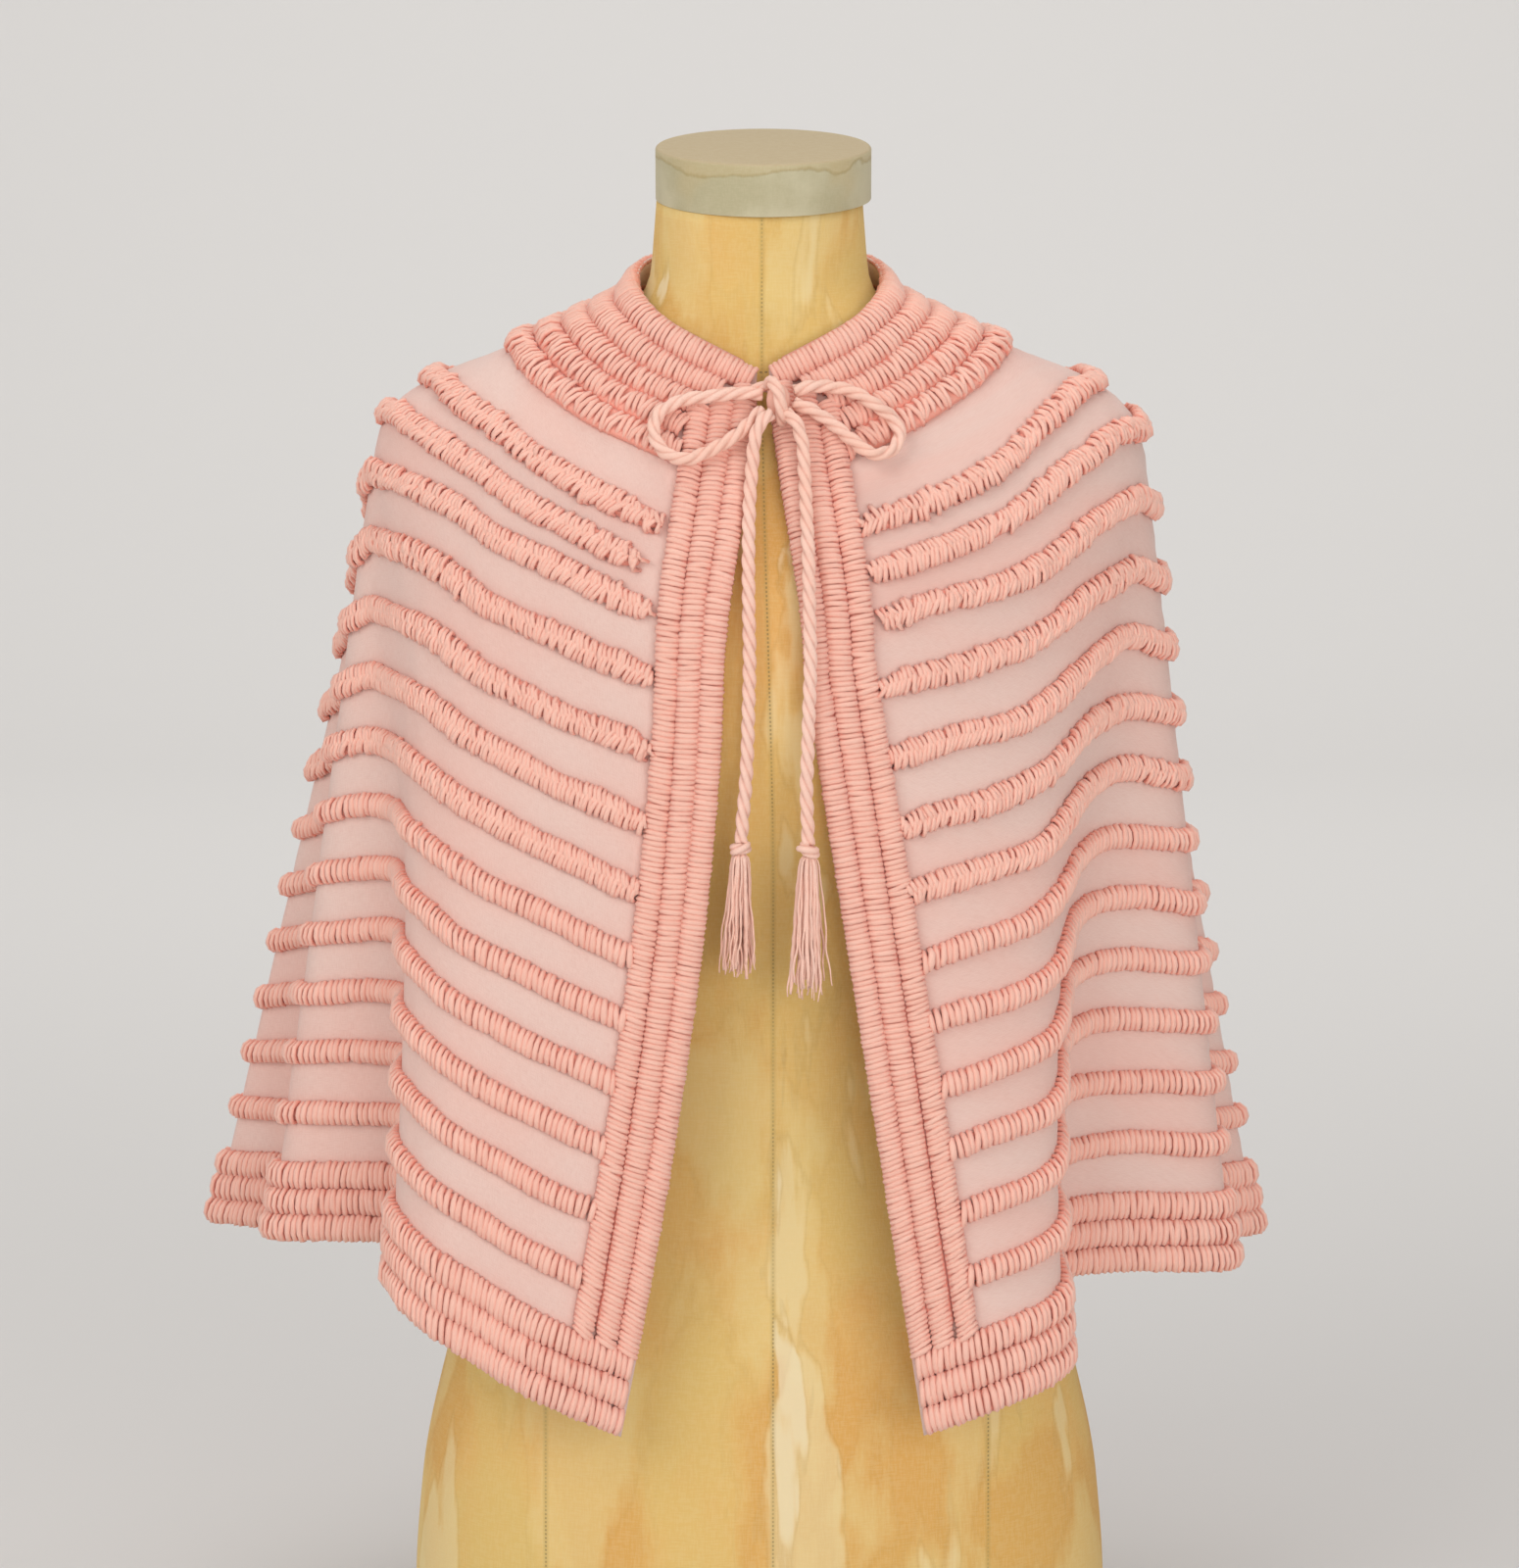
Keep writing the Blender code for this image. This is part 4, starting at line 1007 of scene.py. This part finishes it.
def makePanel(name, firstPlace, lastPlace, nodes):
    share = lastPlace - firstPlace
    columns, rows = max(8, round(capeCloth["columns"] * share)), capeCloth["rows"]
    build = bmesh.new()
    bmesh.ops.create_grid(build, x_segments=columns, y_segments=rows, size=0.5)
    flat = np.array([v.co for v in build.verts]) + 0.5
    place = firstPlace + flat[:, 0] * share
    down = (1 - flat[:, 1]) * cutLength
    where = clothFace(place, down)
    uvLayer = build.loops.layers.uv.new("clothMap")
    mapped = np.stack([runAt(place, down) * mm, down * mm], axis=1)
    for face in build.faces:
        for loop in face.loops:
            loop[uvLayer].uv = mapped[loop.vert.index]
    for vert, point in zip(build.verts, where):
        vert.co = point
    build.normal_update()
    middle = len(build.verts) // 2
    build.verts.ensure_lookup_table()
    if build.verts[middle].normal.dot(Vector(clothNormal(place[middle], down[middle]))) < 0:
        bmesh.ops.reverse_faces(build, faces=build.faces)
    piece = addPiece(name, meshFrom(build, name), cloth, "cloth", *nodes)
    wall = piece.modifiers.new("wall", "SOLIDIFY")
    wall.thickness = capeCloth["thickness"] * mm
    wall.offset = -1
    wall.use_even_offset = False
    downs = np.linspace(0, cutLength, 120)
    starts, ends = runAt(np.array([[firstPlace], [lastPlace]]), downs[None, :])
    widths = (ends - starts) * mm
    area = float(((widths[1:] + widths[:-1]) / 2 * np.diff(downs) * mm).sum())
    return piece, float(widths.max()), area


# yarn rows
yarnRows = {
    "spacedRows": (126, 158, 200, 238, 274, 309, 343, 377, 410, 442, 474, 506, 539),
    # how far short of the front bands each row ends, left and right; below 0 it runs into the band
    "leftGaps": (2.5, 11, 4, 2, 0, -1),
    "rightGaps": (2, 1, 4, 0, 0, -1),
    # the first rows are worn and tangled, with short loops in two tiers
    "wornRows": 7,
    "highRows": 10,
    "wornStep": 2.5,
    "wornRadius": 1.38,
    "spacedStep": 3.2,
    "spacedRadius": 1.72,
    "bandStep": 2.65,
    "bandRadius": 1.45,
    "hemStep": 3.15,
    "hemRadius": 1.71,
    "neckPitch": 17,
    # the neck rows draw together towards the front
    "neckFront": 0.81,
    "neckRows": 5,
    "edgePitch": 12.2,
    "edgeRows": 3,
    "hemPitch": 14,
    "sides": 5,
    # one loop, seen from the side: (across the row, height), in mm, or in shares of a band's half and height
    "spacedLoop": ((-4.9, -0.6), (-4.9, 2.4), (-2.2, 5.0), (1.8, 5.3), (4.9, 3.6), (5.4, 1.3), (4.0, -0.4)),
    "wornLoops": (
        ((-5.4, 0.4), (-6.2, 2.3), (-4.6, 4.4), (-1.8, 5.2), (0.8, 4.7), (2.0, 3.4)),
        ((-2.2, 3.6), (-0.9, 4.9), (1.8, 5.5), (4.8, 4.7), (6.6, 2.7), (5.6, 0.5)),
    ),
    "bandLoop": ((-0.98, -0.10), (-0.9, 0.6), (-0.4, 0.98), (0.4, 0.98), (0.9, 0.6), (0.98, -0.10)),
    # yarn thinner than this counts as worn; neat and worn yarn's thickness along a loop, and unevenness
    "wornLimit": 1.4,
    "loopPlaces": (-1, -0.6, 0, 0.7, 1),
    "loopThickness": ((0.72, 0.97, 1.05, 0.95, 0.66), (0.85, 0.97, 1.05, 1.0, 0.85)),
    "fluff": (0.06, 0.11),
    # neck rows from the top: how tangled; each row's share of the pitch and height; stuffing of its row
    "neckMess": (0.10, 0.13, 0.3, 0.6, 0.9),
    "neckBand": (0.44, 5.6, (0.2, 1.4)),
    "hemBand": (0.47, 5.5, (0.3, 1.3)),
    "edgeBand": (0.48, 5.4, (0.3, 1.4)),
    # front bands from the edge inwards: how tangled, lean of the wraps, how much more they lean lower down
    "edgeRowLooks": ((0.07, 0.05, 0.38), (0.09, -0.06, 0.45), (0.2, 0.1, 0.42)),
    # the stuffing under a row's loops: share of the row's half width, top, bottom
    "core": (0.97, 3.9, -0.7),
    "seed": 17,
}


def slowWave(s, row, length):
    # a smooth value from -1 to 1 that wanders along a row
    return 0.6 * np.sin(s / length + row * 2.1) + 0.4 * np.sin(s / length * 2.7 + row * 1.3 + 0.8)


class YarnBatch:
    # collects loops as tubes; each loop lies across its row
    def __init__(self, name):
        self.name, self.meshes = name, []

    def add(self, lie, turn, profile, radius, messy, widths, rng):
        # lie holds each loop's base, the cloth's outward direction and the way that the loop lies
        base, outward, across = lie
        count, steps = len(base), len(profile)
        mess, turn = messy[:, None], turn[:, None]
        t = np.linspace(-1, 1, steps)[None, :]

        def vary(size):
            return rng.normal(0, size, (count, 1))

        a = profile[None, :, 0] * widths[:, None] * rng.uniform(0.95, 1.05, (count, 1)) + mess * vary(0.6)
        h = profile[None, :, 1] * (1 + vary(0.025) + mess * vary(0.11))
        a = a + mess * 0.4 * rng.normal(0, 1, (count, steps))
        h = h + mess * 0.3 * rng.normal(0, 1, (count, steps)) * (profile[None, :, 1] > 1)
        # worn loops curl to one side towards their ends
        curl = mess * vary(1.0) * np.clip(t - 0.1, 0, 1) ** 2 * 2.4
        curl = curl + mess * vary(0.8) * np.clip(-t - 0.3, 0, 1) ** 2 * 2.0
        side = vary(0.035) * a + mess * vary(0.2) * a + curl
        high = np.clip(h, -0.7, 6.4)
        along = np.cross(unit(across), outward)
        paths = base[:, None, :] + mm * (
            (a * np.cos(turn) + side * np.sin(turn))[..., None] * across[:, None, :]
            + (side * np.cos(turn) - a * np.sin(turn))[..., None] * along[:, None, :]
            + high[..., None] * outward[:, None, :])
        worn = radius < yarnRows["wornLimit"]
        thick = np.interp(t, yarnRows["loopPlaces"], yarnRows["loopThickness"][worn])
        lump = rng.uniform(0.9, 1.1, (count, 1)) * thick
        tones = np.broadcast_to(rng.uniform(0, 1, (count, 1)), (count, steps))
        # the height over the cloth sets how much painted root shade each point of a loop takes
        self.meshes.append(tubeMesh(self.name, paths, radius * lump * mm, yarnRows["sides"],
                                    {"yarnHeight": np.clip(high / 5.5, 0, 1), "yarnTone": tones},
                                    yarnRows["fluff"][worn], along[:, None, :], 0.92))

    def addCore(self, lie, half, ends):
        # a soft roll under a row's loops, thinner where the row ends
        base, outward, across = (part[::3] if len(part) > 8 else part for part in lie)
        share, top, bottom = yarnRows["core"]
        wide = np.full(len(base), half * share) * mm
        for at, isEnd in zip((0, -1), ends):
            wide[at] *= 0.4 if isEnd else 1.0
        path = base + outward * (top + bottom) / 2 * mm
        # the stuffing's fixed height mark gives it part of the painted root shade
        marks = {"yarnHeight": np.full(len(base), 0.35), "yarnTone": np.full(len(base), 0.4)}
        self.meshes.append(tubeMesh(self.name, path[None], wide[None], 8, marks, 0.0,
                                    -unit(across)[None], (top - bottom) / 2 / (half * share)))

    def make(self):
        return addPiece(self.name, joined(self.name, self.meshes), yarn, "cloth")


def stepsAlong(start, end, step, rng, jitter=0.1):
    count = max(2, round((end - start) / step))
    return start + (np.arange(count) + 0.5 + rng.uniform(-jitter, jitter, count)) / count * (end - start)


def bandDowns(side, inset, top, bottom, rng):
    # loops at equal real distances down a front band
    fine = np.linspace(top, bottom, 400)
    run = runAlong(clothPoint(placeAt(side * (rowWidth(fine) / 2 - inset), fine), fine))
    return np.interp(stepsAlong(0, run[-1], yarnRows["bandStep"], rng, 0.05), run, fine)


def makeYarn(panelEdges):
    # rows run from band to band; each batch goes with the panel that it is sewn to
    rng = np.random.default_rng(yarnRows["seed"])
    spaced, worn = np.array(yarnRows["spacedLoop"]), np.array(yarnRows["wornLoops"])
    bandWide = yarnRows["edgePitch"] * yarnRows["edgeRows"]
    sideNames = ("Left", "Back", "Right")
    batches = {}

    def band(name, pitch, row):
        # profile and stuffing of a row of square wraps
        wide, high, stuffing = yarnRows[name]
        return np.array(yarnRows["bandLoop"]) * (yarnRows[pitch] * wide, high), stuffing[row % 2]

    def share(key, s, down, turn, profile, radius, messy, widths=1.0, hang=0.0, stuffing=-0.6):
        # one row of loops, in order along the row; hang lets them lie down the cloth, not square to the row
        place = placeAt(s, down)
        base, outward = clothFace(place, down), clothNormal(place, down)
        along = np.gradient(base, axis=0)
        along = unit(along - (along * outward).sum(-1, keepdims=True) * outward)
        square = np.cross(outward, along)
        hanging = unit(clothPoint(place, down + 4) - clothPoint(place, down - 4))
        across = unit(square + hang * (hanging - square))
        across = across / np.clip((across * square).sum(-1, keepdims=True), 0.75, 1)
        turn, messy, widths = (np.broadcast_to(value, len(s)) for value in (turn, messy, widths))
        for index, side in enumerate(sideNames):
            own = (place >= panelEdges[index]) & (place < panelEdges[index + 1])
            if own.sum() < 2:
                continue
            part = base[own], outward[own], across[own]
            batch = batches.setdefault((index, key), YarnBatch(key + side))
            batch.add(part, turn[own], profile, radius, messy[own], widths[own], rng)
            if stuffing is not None:
                core = batches.setdefault((index, "yarnCore"), YarnBatch("yarnCore" + side))
                core.addCore(part, abs(profile[:, 0]).max() + stuffing, (own[0], own[-1]))

    for row, down in enumerate(yarnRows["spacedRows"]):
        wornRow = row < yarnRows["wornRows"]
        half = float(rowWidth(down)) / 2 - bandWide
        gaps = [yarnRows[name][min(row, len(yarnRows[name]) - 1)] for name in ("leftGaps", "rightGaps")]
        step = yarnRows["wornStep"] if wornRow else yarnRows["spacedStep"]
        s = stepsAlong(gaps[0] - half, half - gaps[1], step, rng)
        wander = 0.9 * slowWave(s, row, 24)
        fade = np.clip(1.15 - row * 0.10, 0.2, 1.0)
        nearEnd = np.exp(-((half - gaps[0] + s) / 8) ** 2) + np.exp(-((half - gaps[1] - s) / 8) ** 2)
        messy = fade * (0.62 + 0.3 * slowWave(s, row + 0.7, 60)) + nearEnd * 0.35
        slant = 0.34 * fade * slowWave(s, row + 0.3, 18)
        widths = 1 + 0.07 * slowWave(s, row + 0.9, 15) * fade - 0.25 * nearEnd * wornRow
        key = "wornYarn" if wornRow else "neatYarnHigh" if row < yarnRows["highRows"] else "neatYarnLow"
        downs, radius = down + wander, yarnRows["wornRadius" if wornRow else "spacedRadius"]
        if wornRow:
            share(key, s, downs, slant + 0.22, worn[0], radius, messy, widths, 0.8)
            share(key, s[:-1] + step / 2, downs[:-1], slant[:-1] - 0.25, worn[1], radius,
                  messy[:-1], widths[:-1], 0.8, None)
        else:
            share(key, s, downs, slant, spaced, radius, messy, widths, 1.0)
    neckFront = yarnRows["neckPitch"] * yarnRows["neckFront"]
    for k in range(yarnRows["neckRows"]):
        inset = yarnRows["edgePitch"] * min(k + 0.5, yarnRows["edgeRows"]) if k else 2.0
        half = float(rowWidth(neckFront * (k + 0.5))) / 2 - inset
        s = stepsAlong(-half, half, yarnRows["bandStep"], rng, 0.07)
        narrow = 1 - (1 - yarnRows["neckFront"]) * np.clip((np.abs(s) / half - 0.5) / 0.4, 0, 1)
        messy = yarnRows["neckMess"][k]
        profile, stuffing = band("neckBand", "neckPitch", k)
        share("bandYarn", s, yarnRows["neckPitch"] * (k + 0.5) * narrow, 0.25 * messy * slowWave(s, k, 16),
              profile, yarnRows["bandRadius"], messy, narrow, stuffing=stuffing)
    hemTop = cutLength - yarnRows["hemPitch"] * yarnRows["edgeRows"]
    for k in range(yarnRows["edgeRows"]):
        # the hem rows run out to the front edges, and the front bands end on them
        down = cutLength - yarnRows["hemPitch"] * (k + 0.5)
        half = float(rowWidth(down)) / 2 - 2.0
        s = stepsAlong(-half, half, yarnRows["hemStep"], rng)
        profile, stuffing = band("hemBand", "hemPitch", k)
        share("hemYarn", s, np.full(len(s), down), 0.08 * slowWave(s, k, 30), profile, yarnRows["hemRadius"],
              0.2, 1.0, 1.0, stuffing)
        profile, stuffing = band("edgeBand", "edgePitch", k)
        messy, lean, swing = yarnRows["edgeRowLooks"][k]
        inset = yarnRows["edgePitch"] * (k + 0.5) + (0.4 if k == 2 else 0.0)
        for side in (-1, 1):
            downs = bandDowns(side, inset, neckFront * (k + (0.5 if k else 0.9)), hemTop + 1.5, rng)
            s = side * (rowWidth(downs) / 2 - inset)
            slant = side * (lean + swing * np.clip((downs - 330) / 230, 0, 1) ** 1.5)
            share("bandYarn", s, downs, slant, profile, yarnRows["bandRadius"], messy, stuffing=stuffing)
    made = [[] for side in sideNames]
    for (index, key), batch in batches.items():
        made[index].append(batch.make())
    return made


def makeCape():
    left, right = (float(foldPlaces[fold]) for fold in capeSizes["seamFolds"])
    edges, rowsMade = (0.0, left, right, 1.0), makeYarn((-0.01, left, right, 1.01))
    names = (("capeFrontLeft", "cape_front_left"), ("capeBack", "cape_back_left", "cape_back_right"),
             ("capeFrontRight", "cape_front_right"))
    for index, (name, *nodes) in enumerate(names):
        piece, widest, area = makePanel(name, edges[index], edges[index + 1], nodes)
    print("cape done")


makeCape()


# dress form and cap
def tiltNeck(points):
    # the form's top is cut at a slant, as the cap sits
    start, top = formSizes["tiltStart"], formRows[-1]
    share = np.clip((points[..., 2] - start) / (top[0] - start), 0, 1)
    tipped = points.copy()
    tipped[..., 2] += (points[..., 1] - top[4]) * math.tan(math.radians(formSizes["neckTilt"])) * share
    return tipped


def makeForm():
    turns = np.arange(formSizes["around"]) * 2 * math.pi / formSizes["around"]
    heights = np.linspace(0, formRows[-1, 0], formSizes["levels"])
    build = bmesh.new()
    rings = loft(build, tiltNeck(formPoint(turns[None, :], heights[:, None])) * mm, True)
    for ring in (rings[0], rings[-1]):
        build.faces.new(ring)
    bmesh.ops.recalc_face_normals(build, faces=build.faces)
    addPiece("dressForm", meshFrom(build, "dressForm"), canvas, "canvas", "dress_form")


capShape = {
    "radius": 0.056,
    "thickness": 0.027,
    "edge": 0.0018,
    "middle": (0.002, -0.011, 0.794),
    "gap": 0.0003,
    "sharpOver": 40,
}


def makeCap():
    tilt, radius = math.radians(formSizes["neckTilt"]), capShape["radius"]
    up = Vector((0, -math.sin(tilt), math.cos(tilt)))
    middle = Vector(capShape["middle"]) + up * (capShape["gap"] + capShape["thickness"] / 2)
    build = bmesh.new()
    bmesh.ops.create_cone(build, cap_ends=True, segments=96, radius1=radius, radius2=radius,
                          depth=capShape["thickness"])
    rims = [e for e in build.edges if all(v.co.z > 0 for v in e.verts)]
    bmesh.ops.bevel(build, geom=rims, offset=capShape["edge"], affect="EDGES", segments=5, profile=0.5,
                    material=-1)
    bmesh.ops.rotate(build, verts=build.verts, matrix=Matrix.Rotation(tilt, 3, "X"))
    bmesh.ops.translate(build, verts=build.verts, vec=middle)
    mesh = meshFrom(build, "neckCap")
    mesh.set_sharp_from_angle(angle=math.radians(capShape["sharpOver"]))
    addPiece("neckCap", mesh, cap, "cap", "neck_cap")


makeForm()
makeCap()
print("form and cap done")
